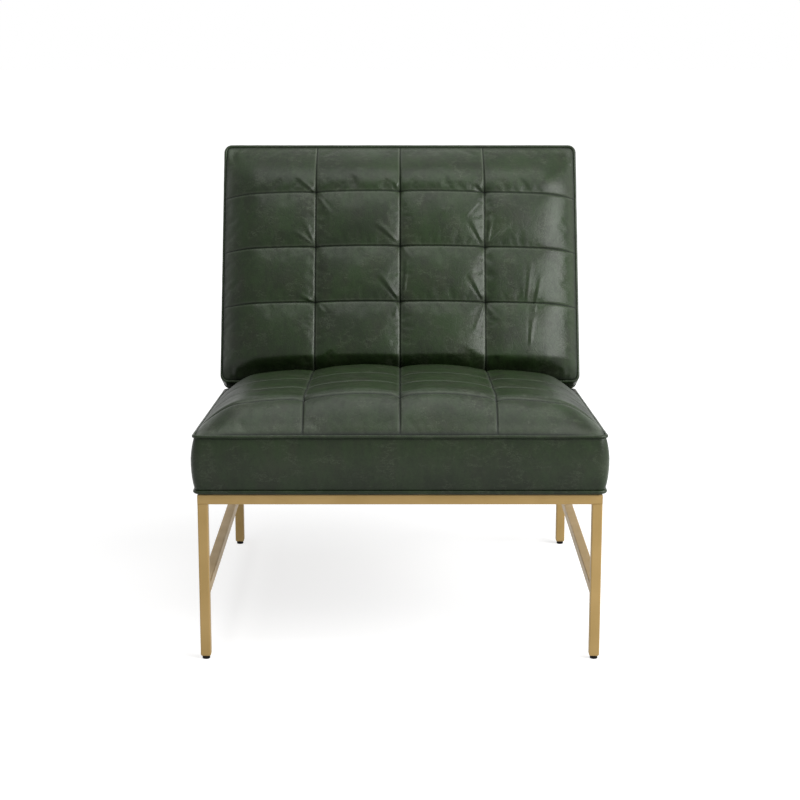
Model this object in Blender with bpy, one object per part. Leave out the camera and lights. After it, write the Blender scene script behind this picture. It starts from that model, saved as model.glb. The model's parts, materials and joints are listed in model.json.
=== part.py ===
"""Armless lounge chair: a tufted leather seat and back on a square-tube metal frame.

Metres, +Z up. The chair faces -Y. While it is built, Y is 0 at the front faces of the front legs
and Z is 0 on the floor. At the end the whole chair moves along Y, so that the origin is on the
floor under the middle of the chair.
"""

import math

import bmesh
import bpy
from mathutils import Euler, Vector

# Clearances
GAP = 0.0003
MERGE_DISTANCE = 0.00003
CUT_OVERRUN = 0.004
PRESS_CLEARANCE = 0.003
CORE_GAP = 0.0006

# Square-tube frame
TUBE = 0.01905
TUBE_WALL = 0.0015
TUBE_ROUND = 0.002
FRAME_WIDTH = 0.741
FRAME_DEPTH = 0.7805
RAIL_TOP = 0.3169
STRETCHER_BOTTOM = 0.1228
SUPPORT_RAIL_FROM_REAR = 0.1805
LEG_END_ROUND = 0.0035
LEG_END_WALL = 0.003
CROSSBAR_CAP = 0.002

# Levelling feet
FOOT_HEIGHT = 0.0055
FOOT_DIAMETER = 0.0145
FOOT_ROUND = 0.0005
STUD_DIAMETER = 0.006
STUD_LENGTH = 0.016
STUD_CLEARANCE = 0.00015
NUT_HEIGHT = 0.010

# Leather piping
PIPING_DIAMETER = 0.007

# Seat, measured between piping centres. Its rows run across it.
SEAT_SIDE_OVERHANG = 0.0045
SEAT_OVERHANG = 0.008
SEAT_FRONT_HEIGHT = 0.1094
SEAT_REAR_HEIGHT = 0.0628
SEAT_LOW_PIPING = 0.0058
SEAT_CROWN = 0.070
SEAT_PILLOW = 0.009
SEAT_SIDE_RUN = 0.080
SEAT_FRONT_RUN = 0.088
SEAT_REAR_RUN = 0.214
SEAT_END_ROW = 0.068
SEAT_CROSS_SEAMS = 5

# Back, measured between piping centres
BACK_SIDE_OVERHANG = 0.0035
BACK_LENGTH = 0.514
BACK_BOXING = 0.065
BACK_RECLINE = math.radians(22.5)
BACK_FROM_SEAT_REAR = 0.094
BACK_ABOVE_POSTS = 0.1305
BACK_LIFT = 0.0304
BACK_CROWN = 0.070
BACK_PILLOW = 0.014
BACK_SIDE_RUN = 0.075
BACK_LOW_RUN = 0.066
BACK_TOP_RUN = 0.115
BACK_LOW_ROW = 0.154
BACK_CROSS_SEAMS = 3
BACK_PANEL = 0.003

# Upholstery that the seat and the back share
OUTER_COLUMN = 0.197
CUSHION_CORNER = 0.013
COVER_WALL = 0.012
CORE_DEPTH = 0.010
FULLNESS_SHARE = 0.061
SEAT_DOME_SHARE = 0.45
BACK_DOME_SHARE = 0.45
PILLOW_LENGTHWAYS_SHARE = 0.45
PILLOW_POWER = 0.75
SEAT_SIDE_POWER = 0.75
BACK_SIDE_POWER = 0.5
BOXING_RING_SHARES = (0.3, 0.7)
SHOULDER_SHARES = (0.3, 0.54, 0.73, 0.86)

# Hardwood frames inside the cushions, webbing and dust cover
SEAT_BOARD_WIDTH = 0.070
SEAT_BOARD = 0.022
BACK_BOARD_WIDTH = 0.060
BACK_BOARD = 0.018
BACK_LOW_BOARD_HEIGHT = 0.140
WEB_THICKNESS = 0.0015
WEB_STRAP = 0.060
WEB_MARGIN = 0.008
WEB_STRAPS_LONG = 6
WEB_STRAPS_ACROSS = 5
DUST_COVER = 0.0008
DUST_COVER_MARGIN = 0.011
DUST_COVER_SIDE_MARGIN = 0.036

# Steel tabs, back brackets and fasteners
TAB_LENGTH = 0.040
TAB_REACH = 0.030
TAB_THICKNESS = 0.003
TAB_FROM_RAIL = 0.130
BRACKET_WIDTH = 0.040
BRACKET_THICKNESS = 0.004
BRACKET_FROM_SIDE = 0.1705
BRACKET_UPPER_LENGTH = 0.060
BRACKET_SCREW_HEIGHT = 0.014
CROSSBAR_BOLT_FROM_SIDE = 0.1605
SCREW_DIAMETER = 0.005
SCREW_BITE = 0.012
SCREW_HEAD_DIAMETER = 0.011
SCREW_HEAD = 0.003

# Facets
CRISP_EDGE = math.radians(50)
TURNED_EDGE = math.radians(40)
QUILTED_EDGE = math.radians(22)
COLUMN_STEPS = 4
SEAM_STEPS = 4
PRESSED_STEPS = 5
UNDER_BACK_STEPS = 2
ROUND_SIDES = 16
SCREW_SIDES = 10
CORNER_STEPS = 2
PIPING_CORNER_STEPS = 4
PIPING_RESOLUTION = 2
PRESS_STEPS = 40

# Derived places
LEG_CENTRE_X = FRAME_WIDTH / 2 - TUBE / 2
FRONT_LEG_Y = TUBE / 2
REAR_LEG_Y = FRAME_DEPTH - TUBE / 2
LEG_BOTTOM = FOOT_HEIGHT + GAP
RAIL_Z = RAIL_TOP - TUBE / 2
SUPPORT_RAIL_DEPTH = FRAME_DEPTH - SUPPORT_RAIL_FROM_REAR
PIPING_RADIUS = PIPING_DIAMETER / 2
EDGE_INSET = (PIPING_RADIUS + GAP) * math.sqrt(2)
SEAT_FRONT_Y = -SEAT_OVERHANG
SEAT_FLOOR = RAIL_TOP + GAP
SEAT_HALF = FRAME_WIDTH / 2 + SEAT_SIDE_OVERHANG
BACK_HALF = FRAME_WIDTH / 2 + BACK_SIDE_OVERHANG
COLUMN_PITCH = SEAT_HALF - OUTER_COLUMN
BACK_PANEL_FACE = BACK_BOXING + GAP + BACK_PANEL
BACK_REST = BACK_PANEL_FACE + GAP

# The posts behind the back end where their front faces meet its rear panel.
POST_FRONT_Y = FRAME_DEPTH - TUBE
POST_TOP_V = BACK_LENGTH - BACK_ABOVE_POSTS
CROSSBAR_V = POST_TOP_V + GAP + TUBE / 2
BACK_REACH = BACK_REST * math.cos(BACK_RECLINE) + POST_TOP_V * math.sin(BACK_RECLINE)
BACK_FOOT_Y = POST_FRONT_Y - GAP - BACK_REACH
SEAT_REAR_Y = BACK_FOOT_Y + BACK_FROM_SEAT_REAR
SEAT_DEPTH = SEAT_REAR_Y - SEAT_FRONT_Y
BACK_SETBACK = BACK_FOOT_Y - SEAT_FRONT_Y

LEATHER = ("leather", (0.030, 0.047, 0.024), 0.45, 0.0)
METAL = ("brass_finish", (0.42, 0.27, 0.11), 0.38, 1.0)
STEEL = ("zinc_steel", (0.55, 0.56, 0.58), 0.35, 1.0)
PLASTIC = ("black_plastic", (0.012, 0.012, 0.012), 0.5, 0.0)
WOOD = ("hardwood", (0.45, 0.28, 0.14), 0.6, 0.0)
FOAM = ("foam", (0.75, 0.68, 0.50), 0.95, 0.0)
WEBBING = ("webbing", (0.35, 0.27, 0.18), 0.9, 0.0)
BLACK_CLOTH = ("black_cloth", (0.015, 0.015, 0.016), 0.95, 0.0)


def clear_scene():
    for obj in list(bpy.data.objects):
        bpy.data.objects.remove(obj)


def material(kind):
    name, colour, roughness, metallic = kind
    found = bpy.data.materials.get(name)
    if found:
        return found
    made = bpy.data.materials.new(name)
    made.use_nodes = True
    shader = made.node_tree.nodes["Principled BSDF"]
    shader.inputs["Base Color"].default_value = (*colour, 1.0)
    shader.inputs["Roughness"].default_value = roughness
    shader.inputs["Metallic"].default_value = metallic
    made.diffuse_color = (*colour, 1.0)
    return made


def empty(name, location=(0, 0, 0), rotation=(0, 0, 0), parent=None):
    obj = bpy.data.objects.new(name, None)
    bpy.context.collection.objects.link(obj)
    obj.location = location
    obj.rotation_euler = rotation
    obj.parent = parent
    return obj


def mesh_object(name, bm, kind, parent, location=(0, 0, 0), rotation=(0, 0, 0), smooth_angle=None):
    bmesh.ops.recalc_face_normals(bm, faces=bm.faces)
    mesh = bpy.data.meshes.new(name)
    bm.to_mesh(mesh)
    bm.free()
    if smooth_angle is not None:
        mesh.shade_smooth()
        mesh.set_sharp_from_angle(angle=smooth_angle)
    obj = bpy.data.objects.new(name, mesh)
    bpy.context.collection.objects.link(obj)
    obj.location = location
    obj.rotation_euler = rotation
    obj.parent = parent
    if kind:
        mesh.materials.append(material(kind))
    return obj


def cut_away(target, cutter):
    cutter.hide_render = True
    cutter.display_type = "WIRE"
    cut = target.modifiers.new(cutter.name, "BOOLEAN")
    cut.operation = "DIFFERENCE"
    cut.solver = "EXACT"
    cut.object = cutter


def drill(targets, name, parent, radius, depth, location, rotation=(0, 0, 0), sides=SCREW_SIDES):
    """Cut a round hole, centred on location and running along the local Z, in each target."""
    bm = bmesh.new()
    bmesh.ops.create_cone(bm, cap_ends=True, segments=sides, radius1=radius, radius2=radius, depth=depth)
    cutter = mesh_object(name, bm, None, parent, location, rotation)
    for target in targets:
        cut_away(target, cutter)


def box(name, size, kind, parent, location):
    bm = bmesh.new()
    bmesh.ops.create_cube(bm, size=1.0)
    bmesh.ops.scale(bm, vec=Vector(size), verts=bm.verts)
    return mesh_object(name, bm, kind, parent, location)


def rounded_rectangle(half_x, half_y, radius, steps):
    """Points anticlockwise round a rectangle with round corners."""
    points = []
    for turn, (sx, sy) in enumerate(((1, 1), (-1, 1), (-1, -1), (1, -1))):
        for step in range(steps + 1):
            angle = math.pi / 2 * (turn + step / steps)
            points.append((
                sx * (half_x - radius) + radius * math.cos(angle),
                sy * (half_y - radius) + radius * math.sin(angle),
            ))
    return points


def skin_rings(bm, rings, close_start, close_end):
    """Faces between rings with equal numbers of points, with the ends filled where asked."""
    loops = [[bm.verts.new(point) for point in ring] for ring in rings]
    count = len(loops[0])
    for low, high in zip(loops, loops[1:]):
        for k in range(count):
            after = (k + 1) % count
            bm.faces.new((low[k], low[after], high[after], high[k]))
    if close_start:
        bm.faces.new(loops[0][::-1])
    if close_end:
        bm.faces.new(loops[-1])
    return loops


def turned(name, profile, kind, parent, location, rotation=(0, 0, 0), sides=SCREW_SIDES):
    """A round piece whose profile is (radius, height) from its lowest ring to its highest."""
    bm = bmesh.new()
    rings = []
    for radius, height in profile:
        rings.append([
            (radius * math.cos(math.tau * k / sides), radius * math.sin(math.tau * k / sides), height)
            for k in range(sides)
        ])
    skin_rings(bm, rings, close_start=True, close_end=True)
    return mesh_object(name, bm, kind, parent, location, rotation, smooth_angle=TURNED_EDGE)


def tube(name, length, parent, location, rotation=(0, 0, 0), low_slope=(0, 0), high_slope=(0, 0)):
    """Hollow square tube along the local Z. Its end faces slope with the local X and Y."""
    outer = rounded_rectangle(TUBE / 2, TUBE / 2, TUBE_ROUND, CORNER_STEPS)
    inner_half = TUBE / 2 - TUBE_WALL
    inner = rounded_rectangle(inner_half, inner_half, TUBE_ROUND - TUBE_WALL, CORNER_STEPS)

    def ring(points, height, slope):
        return [(x, y, height + slope[0] * x + slope[1] * y) for x, y in points]

    bm = bmesh.new()
    rings = [
        ring(outer, 0, low_slope),
        ring(outer, length, high_slope),
        ring(inner, length, high_slope),
        ring(inner, 0, low_slope),
    ]
    skin_rings(bm, rings + rings[:1], close_start=False, close_end=False)
    bmesh.ops.remove_doubles(bm, verts=bm.verts, dist=MERGE_DISTANCE)
    return mesh_object(name, bm, METAL, parent, location, rotation, smooth_angle=CRISP_EDGE)


def leg(name, height, parent, location, top_slope=0.0):
    """Square tube standing on a closed, rounded end with a hole for the foot's stud."""
    bm = bmesh.new()
    rings = []
    for step in range(CORNER_STEPS + 1):
        angle = math.pi / 2 * step / CORNER_STEPS
        inset = LEG_END_ROUND * (1 - math.sin(angle))
        rise = LEG_END_ROUND * (1 - math.cos(angle))
        outline = rounded_rectangle(TUBE / 2 - inset, TUBE / 2 - inset, TUBE_ROUND, CORNER_STEPS)
        rings.append([(x, y, rise) for x, y in outline])
    outer = rounded_rectangle(TUBE / 2, TUBE / 2, TUBE_ROUND, CORNER_STEPS)
    inner_half = TUBE / 2 - TUBE_WALL
    inner = rounded_rectangle(inner_half, inner_half, TUBE_ROUND - TUBE_WALL, CORNER_STEPS)
    rings.append([(x, y, height + top_slope * y) for x, y in outer])
    rings.append([(x, y, height + top_slope * y) for x, y in inner])
    rings.append([(x, y, LEG_END_WALL) for x, y in inner])
    skin_rings(bm, rings, close_start=True, close_end=True)
    made = mesh_object(name, bm, METAL, parent, location, smooth_angle=CRISP_EDGE)
    hole = STUD_DIAMETER / 2 + GAP
    middle = (location[0], location[1], location[2] + LEG_END_WALL / 2)
    depth = LEG_END_WALL + 2 * CUT_OVERRUN
    drill([made], name + "_stud_hole", parent, hole, depth, middle, sides=ROUND_SIDES)
    return made


def piping(name, half_width, length, parent, height_at):
    """Closed round cord along the edge of a cushion whose corners are rounded."""
    middle = length / 2
    outline = rounded_rectangle(half_width, length / 2, CUSHION_CORNER, PIPING_CORNER_STEPS)
    curve = bpy.data.curves.new(name, "CURVE")
    curve.dimensions = "3D"
    spline = curve.splines.new("POLY")
    spline.points.add(len(outline) - 1)
    for point, (x, y) in zip(spline.points, outline):
        point.co = (x, middle + y, height_at(middle + y), 1)
    spline.use_cyclic_u = True
    curve.bevel_depth = PIPING_RADIUS
    curve.bevel_resolution = PIPING_RESOLUTION
    curve.materials.append(material(LEATHER))
    obj = bpy.data.objects.new(name, curve)
    bpy.context.collection.objects.link(obj)
    obj.parent = parent
    return obj


def edge_rise(distance, run):
    """Rises from 0 at an edge to 1 at a run's distance from it."""
    return math.sin(math.pi / 2 * min(1.0, max(0.0, distance / run)))


def between_seams(position, seams):
    """0 on each seam and 1 half way between two."""
    for low, high in zip(seams, seams[1:]):
        if low <= position <= high:
            return max(0.0, math.sin(math.pi * (position - low) / (high - low))) ** PILLOW_POWER
    return 0.0


def crown(x, v, half, length, height, side, ends, dome_share):
    """A cushion's rise. Its side is a run and a power, and its ends are the runs at both."""
    run, power = side
    across = edge_rise(half - abs(x), run) ** power
    along = edge_rise(v, ends[0]) * edge_rise(length - v, ends[1])
    return height * across * along * (1 - dome_share * (x / half) ** 2)


def seam_lines(first, last, count, length):
    """A cushion's ends, with its cross seams evenly spaced from the first to the last."""
    return [0.0] + [first + (last - first) * k / (count - 1) for k in range(count)] + [length]


def column_lines(half):
    return [-half, -COLUMN_PITCH, 0.0, COLUMN_PITCH, half]


BACK_ROW = (BACK_LENGTH - BACK_LOW_ROW) / BACK_CROSS_SEAMS
SEAT_SEAMS = seam_lines(SEAT_END_ROW, SEAT_DEPTH - SEAT_END_ROW, SEAT_CROSS_SEAMS, SEAT_DEPTH)
BACK_SEAMS = seam_lines(BACK_LOW_ROW, BACK_LENGTH - BACK_ROW, BACK_CROSS_SEAMS, BACK_LENGTH)


def seat_seam_height(v):
    """Height of the seat's upper piping above the seat's underside."""
    return SEAT_FRONT_HEIGHT + (SEAT_REAR_HEIGHT - SEAT_FRONT_HEIGHT) * v / SEAT_DEPTH


def seat_crown(x, v):
    side = (SEAT_SIDE_RUN, SEAT_SIDE_POWER)
    ends = (SEAT_FRONT_RUN, SEAT_REAR_RUN)
    return crown(x, v, SEAT_HALF, SEAT_DEPTH, SEAT_CROWN, side, ends, SEAT_DOME_SHARE)


def back_crown(x, v):
    side = (BACK_SIDE_RUN, BACK_SIDE_POWER)
    ends = (BACK_LOW_RUN, BACK_TOP_RUN)
    return crown(x, v, BACK_HALF, BACK_LENGTH, BACK_CROWN, side, ends, BACK_DOME_SHARE)


def quilting(x, v, half, seams, fullness):
    across = between_seams(x, column_lines(half))
    along = between_seams(v, seams)
    return fullness * (across + PILLOW_LENGTHWAYS_SHARE * along)


def back_surface(x, v):
    """Height of the back's quilted face over its front piping, at v up the back."""
    fade = back_crown(x, v) / BACK_CROWN
    return back_crown(x, v) + quilting(x, v, BACK_HALF, BACK_SEAMS, BACK_PILLOW) * fade


BACK_FOOT = (BACK_FOOT_Y, SEAT_FLOOR + seat_seam_height(BACK_SETBACK) + BACK_LIFT)


def back_point(v, rise):
    """Y and Z of a point at v up the back and rise in front of its piping."""
    y = BACK_FOOT[0] + v * math.sin(BACK_RECLINE) - rise * math.cos(BACK_RECLINE)
    z = BACK_FOOT[1] + v * math.cos(BACK_RECLINE) + rise * math.sin(BACK_RECLINE)
    return y, z


def room_under_back(x, y):
    """Height above the floor of the back's underside over a point, or None in front of the back."""
    start = y - BACK_FOOT[0]
    reach = BACK_BOXING * math.cos(BACK_RECLINE)
    if start >= -PIPING_RADIUS:
        drop = min(start, reach) * math.tan(BACK_RECLINE)
        bulge = max(PIPING_RADIUS, FULLNESS_SHARE * BACK_BOXING)
        return BACK_FOOT[1] - drop - bulge / math.cos(BACK_RECLINE)
    lowest = None
    before = back_point(0, 0)
    for step in range(1, PRESS_STEPS + 1):
        v = BACK_SEAMS[1] * step / PRESS_STEPS
        after = back_point(v, back_surface(x, v))
        if after[0] <= y < before[0]:
            share = (before[0] - y) / (before[0] - after[0])
            height = before[1] + share * (after[1] - before[1])
            lowest = height if lowest is None else min(lowest, height)
        before = after
    return lowest


def seat_surface(x, v, quilted):
    """Height of the seat's top over its underside. The back presses it down where they meet."""
    height = seat_seam_height(v) + seat_crown(x, v)
    if quilted:
        fade = seat_crown(x, v) / SEAT_CROWN
        height += quilting(x, v, SEAT_HALF, SEAT_SEAMS, SEAT_PILLOW) * fade
    room = room_under_back(x, SEAT_FRONT_Y + v)
    if room is None:
        return height
    return min(height, max(room - SEAT_FLOOR - PRESS_CLEARANCE, seat_seam_height(v)))


def border_point(i, j, xs, vs, corner):
    """A border grid point's place on the piping line, and its outward direction."""
    left = i == 0
    right = i == len(xs) - 1
    low = j == 0
    high = j == len(vs) - 1
    out = Vector((right - left, high - low))
    place = Vector((xs[i], vs[j]))
    if out.length > 1:
        out.normalize()
        centre = place - corner * Vector((right - left, high - low))
        place = centre + corner * out
    return place, out


def cushion_mesh(bm, xs, vs, surface, rings, corner):
    """A grid over a rounded rectangle, with rings below its border and a flat bottom.

    Each ring takes (x, v) of a border point and gives its outward offset and its height.
    """
    grid = {}
    border = []
    columns = len(xs) - 1
    rows = len(vs) - 1
    border += [(i, 0) for i in range(columns)]
    border += [(columns, j) for j in range(rows)]
    border += [(i, rows) for i in range(columns, 0, -1)]
    border += [(0, j) for j in range(rows, 0, -1)]
    loops = []
    for ring in rings:
        loop = []
        for i, j in border:
            place, out = border_point(i, j, xs, vs, corner)
            offset, height = ring(place.x, place.y)
            loop.append(bm.verts.new((*(place + offset * out), height)))
        loops.append(loop)
    for key, vert in zip(border, loops[0]):
        grid[key] = vert
    for i in range(1, columns):
        for j in range(1, rows):
            grid[i, j] = bm.verts.new((xs[i], vs[j], surface(xs[i], vs[j])))
    for i in range(columns):
        for j in range(rows):
            bm.faces.new((grid[i, j], grid[i + 1, j], grid[i + 1, j + 1], grid[i, j + 1]))
    count = len(border)
    for high, low in zip(loops, loops[1:]):
        for k in range(count):
            after = (k + 1) % count
            bm.faces.new((high[k], low[k], low[after], high[after]))
    bm.faces.new(loops[-1][::-1])


def subdivided(lines, steps):
    """Each space between two lines cut into equal steps."""
    places = [lines[0]]
    for low, high in zip(lines, lines[1:]):
        places += [low + (high - low) * k / steps for k in range(1, steps + 1)]
    return places


def across_lines(half):
    """Grid lines over a cushion's width, close together near the edge."""
    outer_width = half - COLUMN_PITCH
    inner = subdivided([0.0, COLUMN_PITCH], COLUMN_STEPS)[1:]
    shoulder = [COLUMN_PITCH + outer_width * share for share in SHOULDER_SHARES]
    right = inner + shoulder + [half - CUSHION_CORNER, half]
    return [-x for x in reversed(right)] + [0.0] + right


def half_columns(half):
    """A cushion's edges and column seams, with a line half way over each outer column."""
    shoulder = (COLUMN_PITCH + half) / 2
    return [-half, -shoulder, -COLUMN_PITCH, 0.0, COLUMN_PITCH, shoulder, half]


def boxing_rings(top_at, low_at):
    """Rings of a cushion's side: tucked behind each piping, and full between them."""

    fullest = math.sin(math.pi * BOXING_RING_SHARES[0])

    def side(share):
        def ring(x, v):
            height = top_at(v) - low_at(v)
            offset = FULLNESS_SHARE * height * math.sin(math.pi * share) / fullest
            return offset, top_at(v) - share * height
        return ring

    return (
        [lambda x, v: (-EDGE_INSET, top_at(v)), lambda x, v: (0.0, top_at(v) - EDGE_INSET)]
        + [side(share) for share in BOXING_RING_SHARES]
        + [lambda x, v: (0.0, low_at(v) + EDGE_INSET), lambda x, v: (-EDGE_INSET, low_at(v))]
    )


def lattice(name, half_x, low_y, high_y, kind, parent, height):
    """Flat straps crossing each other, as one thin sheet with square holes."""

    def strap_edges(low, high, count):
        step = (high - low - WEB_STRAP) / (count - 1)
        return [low + k * step + side for k in range(count) for side in (0, WEB_STRAP)]

    xs = strap_edges(-half_x, half_x, WEB_STRAPS_LONG)
    ys = strap_edges(low_y, high_y, WEB_STRAPS_ACROSS)
    kept = {
        (i, j) for i in range(len(xs) - 1) for j in range(len(ys) - 1) if i % 2 == 0 or j % 2 == 0
    }
    bm = bmesh.new()
    corners = {}

    def corner(i, j, upper):
        if (i, j, upper) not in corners:
            corners[i, j, upper] = bm.verts.new((xs[i], ys[j], WEB_THICKNESS * upper))
        return corners[i, j, upper]

    for i, j in kept:
        square = ((i, j), (i + 1, j), (i + 1, j + 1), (i, j + 1))
        bm.faces.new([corner(*place, True) for place in square])
        bm.faces.new([corner(*place, False) for place in reversed(square)])
        for k, neighbour in enumerate(((i, j - 1), (i + 1, j), (i, j + 1), (i - 1, j))):
            if neighbour not in kept:
                near = square[k]
                far = square[(k + 1) % len(square)]
                side = ((near, False), (far, False), (far, True), (near, True))
                bm.faces.new([corner(*place, upper) for place, upper in side])
    return mesh_object(name, bm, kind, parent, (0, 0, height))


def plate(name, half_x, half_y, thickness, corner, kind, parent, location, rotation=(0, 0, 0)):
    """Flat sheet with round corners, its lower face on the local origin."""
    bm = bmesh.new()
    outline = rounded_rectangle(half_x, half_y, corner, CORNER_STEPS)
    rings = [[(x, y, z) for x, y in outline] for z in (0, thickness)]
    skin_rings(bm, rings, close_start=True, close_end=True)
    return mesh_object(name, bm, kind, parent, location, rotation, smooth_angle=CRISP_EDGE)


def fasten(name, parent, location, rotation, grip, targets):
    """A screw whose head lies on location and whose shank runs along the local Z through the targets."""
    reach = grip + SCREW_BITE
    head = SCREW_HEAD_DIAMETER / 2
    shank = SCREW_DIAMETER / 2
    turn = Euler(rotation)
    seat = Vector(location) + turn.to_matrix() @ Vector((0, 0, -GAP))
    profile = [(head, -SCREW_HEAD), (head, 0), (shank, 0), (shank, reach)]
    turned(name, profile, STEEL, parent, seat, rotation)
    depth = CUT_OVERRUN + reach + GAP
    middle = Vector(location) + turn.to_matrix() @ Vector((0, 0, depth / 2 - CUT_OVERRUN))
    drill(targets, name + "_hole", parent, shank + GAP, depth, middle, rotation)


def build_frame(root):
    """The welded metal frame, from the legs to the two posts that stand behind the back."""
    toward_x = (0, math.pi / 2, 0)
    toward_y = (-math.pi / 2, 0, 0)
    leg_height = RAIL_TOP - TUBE - GAP - LEG_BOTTOM
    post_slope = -math.tan(BACK_RECLINE)
    post_top = back_point(POST_TOP_V, -BACK_REST)
    post_height = post_top[1] + post_slope * (REAR_LEG_Y - post_top[0]) - LEG_BOTTOM
    mitre_start = TUBE / 2 + GAP * math.sqrt(2)
    stretcher_start = TUBE + GAP
    rail_end = POST_FRONT_Y - GAP

    for side, sign in (("left", -1), ("right", 1)):
        x = sign * LEG_CENTRE_X
        leg(f"front_{side}_leg", leg_height, root, (x, FRONT_LEG_Y, LEG_BOTTOM))
        leg(f"rear_{side}_post", post_height, root, (x, REAR_LEG_Y, LEG_BOTTOM), top_slope=post_slope)
        rail = (x, mitre_start, RAIL_Z)
        tube(f"{side}_rail", rail_end - mitre_start, root, rail, toward_y, low_slope=(-sign, 0))
        stretcher = (x, stretcher_start, STRETCHER_BOTTOM + TUBE / 2)
        tube(f"{side}_stretcher", rail_end - stretcher_start, root, stretcher, toward_y)

    front = FRAME_WIDTH - TUBE
    place = (-front / 2, FRONT_LEG_Y, RAIL_Z)
    tube("front_rail", front, root, place, toward_x, low_slope=(0, 1), high_slope=(0, -1))
    between = FRAME_WIDTH - 2 * TUBE - 2 * GAP
    tube("rear_rail", between, root, (-between / 2, REAR_LEG_Y, RAIL_Z), toward_x)
    support = (-between / 2, SUPPORT_RAIL_DEPTH + TUBE / 2, RAIL_Z)
    tube("seat_support_rail", between, root, support, toward_x)


def build_feet(root):
    """Levelling feet: each has a nut in the leg's end and a glide whose stud turns in it."""
    foot = FOOT_DIAMETER / 2
    stud = STUD_DIAMETER / 2
    profile = [
        (foot - FOOT_ROUND, 0),
        (foot, FOOT_ROUND),
        (foot, FOOT_HEIGHT),
        (stud, FOOT_HEIGHT),
        (stud, FOOT_HEIGHT + STUD_LENGTH),
    ]
    nut_side = TUBE - 2 * TUBE_WALL - 2 * GAP
    nut_z = LEG_BOTTOM + LEG_END_WALL + GAP + NUT_HEIGHT / 2
    hole_depth = NUT_HEIGHT + 2 * CUT_OVERRUN
    for end, y in (("front", FRONT_LEG_Y), ("rear", REAR_LEG_Y)):
        for side, x in (("left", -LEG_CENTRE_X), ("right", LEG_CENTRE_X)):
            turned(f"{end}_{side}_foot", profile, PLASTIC, root, (x, y, 0), sides=ROUND_SIDES)
            nut = box(f"{end}_{side}_leg_nut", (nut_side, nut_side, NUT_HEIGHT), STEEL, root, (x, y, nut_z))
            thread = stud + STUD_CLEARANCE
            drill([nut], f"{end}_{side}_nut_hole", root, thread, hole_depth, (x, y, nut_z), sides=ROUND_SIDES)


def hollow(skin, name, xs, vs, surface, floor):
    """Cut the room for the frame and foam out of a cover, open at its flat side."""
    bm = bmesh.new()
    rings = [lambda x, v: (0.0, surface(x, v)), lambda x, v: (0.0, floor)]
    cushion_mesh(bm, xs, vs, surface, rings, 0.0)
    bmesh.ops.triangulate(bm, faces=bm.faces, quad_method="FIXED")
    cut_away(skin, mesh_object(name, bm, None, skin.parent))


def core(name, xs, vs, surface, floor, parent):
    """Foam that fills a cover from its frame up."""
    bm = bmesh.new()
    rings = [lambda x, v: (-GAP, surface(x, v) - CORE_GAP), lambda x, v: (-GAP, floor)]
    cushion_mesh(bm, xs, vs, lambda x, v: surface(x, v) - CORE_GAP, rings, 0.0)
    bmesh.ops.triangulate(bm, faces=bm.faces, quad_method="FIXED")
    return mesh_object(name, bm, FOAM, parent, smooth_angle=TURNED_EDGE)


def cover(name, xs, vs, surface, rings, parent):
    bm = bmesh.new()
    cushion_mesh(bm, xs, vs, surface, rings, CUSHION_CORNER)
    return mesh_object(name, bm, LEATHER, parent, smooth_angle=QUILTED_EDGE)


def core_lines(lines, edge):
    """Grid lines of a core whose edges lie in from the first and last line."""
    return [lines[0] + edge] + lines[1:-1] + [lines[-1] - edge]


def build_seat_cushion(seat):
    """Leather cover and foam. The cover is open below, where the boards close it."""
    pressed = subdivided([SEAT_SEAMS[-3], BACK_SETBACK - PIPING_RADIUS], PRESSED_STEPS)[1:]
    back_end = BACK_SETBACK + BACK_BOXING * math.cos(BACK_RECLINE)
    under_back = subdivided([pressed[-1], back_end], UNDER_BACK_STEPS)[1:]
    front = [0.0, CUSHION_CORNER, (CUSHION_CORNER + SEAT_END_ROW) / 2]
    quilted = subdivided(SEAT_SEAMS[1:-2], SEAM_STEPS)
    vs = front + quilted + pressed + under_back + [SEAT_DEPTH - CUSHION_CORNER, SEAT_DEPTH]
    rings = boxing_rings(seat_seam_height, lambda v: SEAT_LOW_PIPING) + [lambda x, v: (-EDGE_INSET, 0.0)]

    def quilted_top(x, v):
        return seat_surface(x, v, True)

    def foam_top(x, v):
        return seat_surface(x, v, False) - CORE_DEPTH

    skin = cover("seat_cover", across_lines(SEAT_HALF), vs, quilted_top, rings, seat)

    xs = core_lines(half_columns(SEAT_HALF), COVER_WALL)
    vs = [0.0] + SEAT_SEAMS[1:-2] + pressed[1:-1:2] + [pressed[-1], under_back[-1], SEAT_DEPTH]
    vs = core_lines(vs, COVER_WALL)
    hollow(skin, "seat_hollow", xs, vs, foam_top, -CUT_OVERRUN)
    core("seat_foam", xs, vs, foam_top, SEAT_BOARD + 2 * GAP + WEB_THICKNESS, seat)
    return skin


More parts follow.
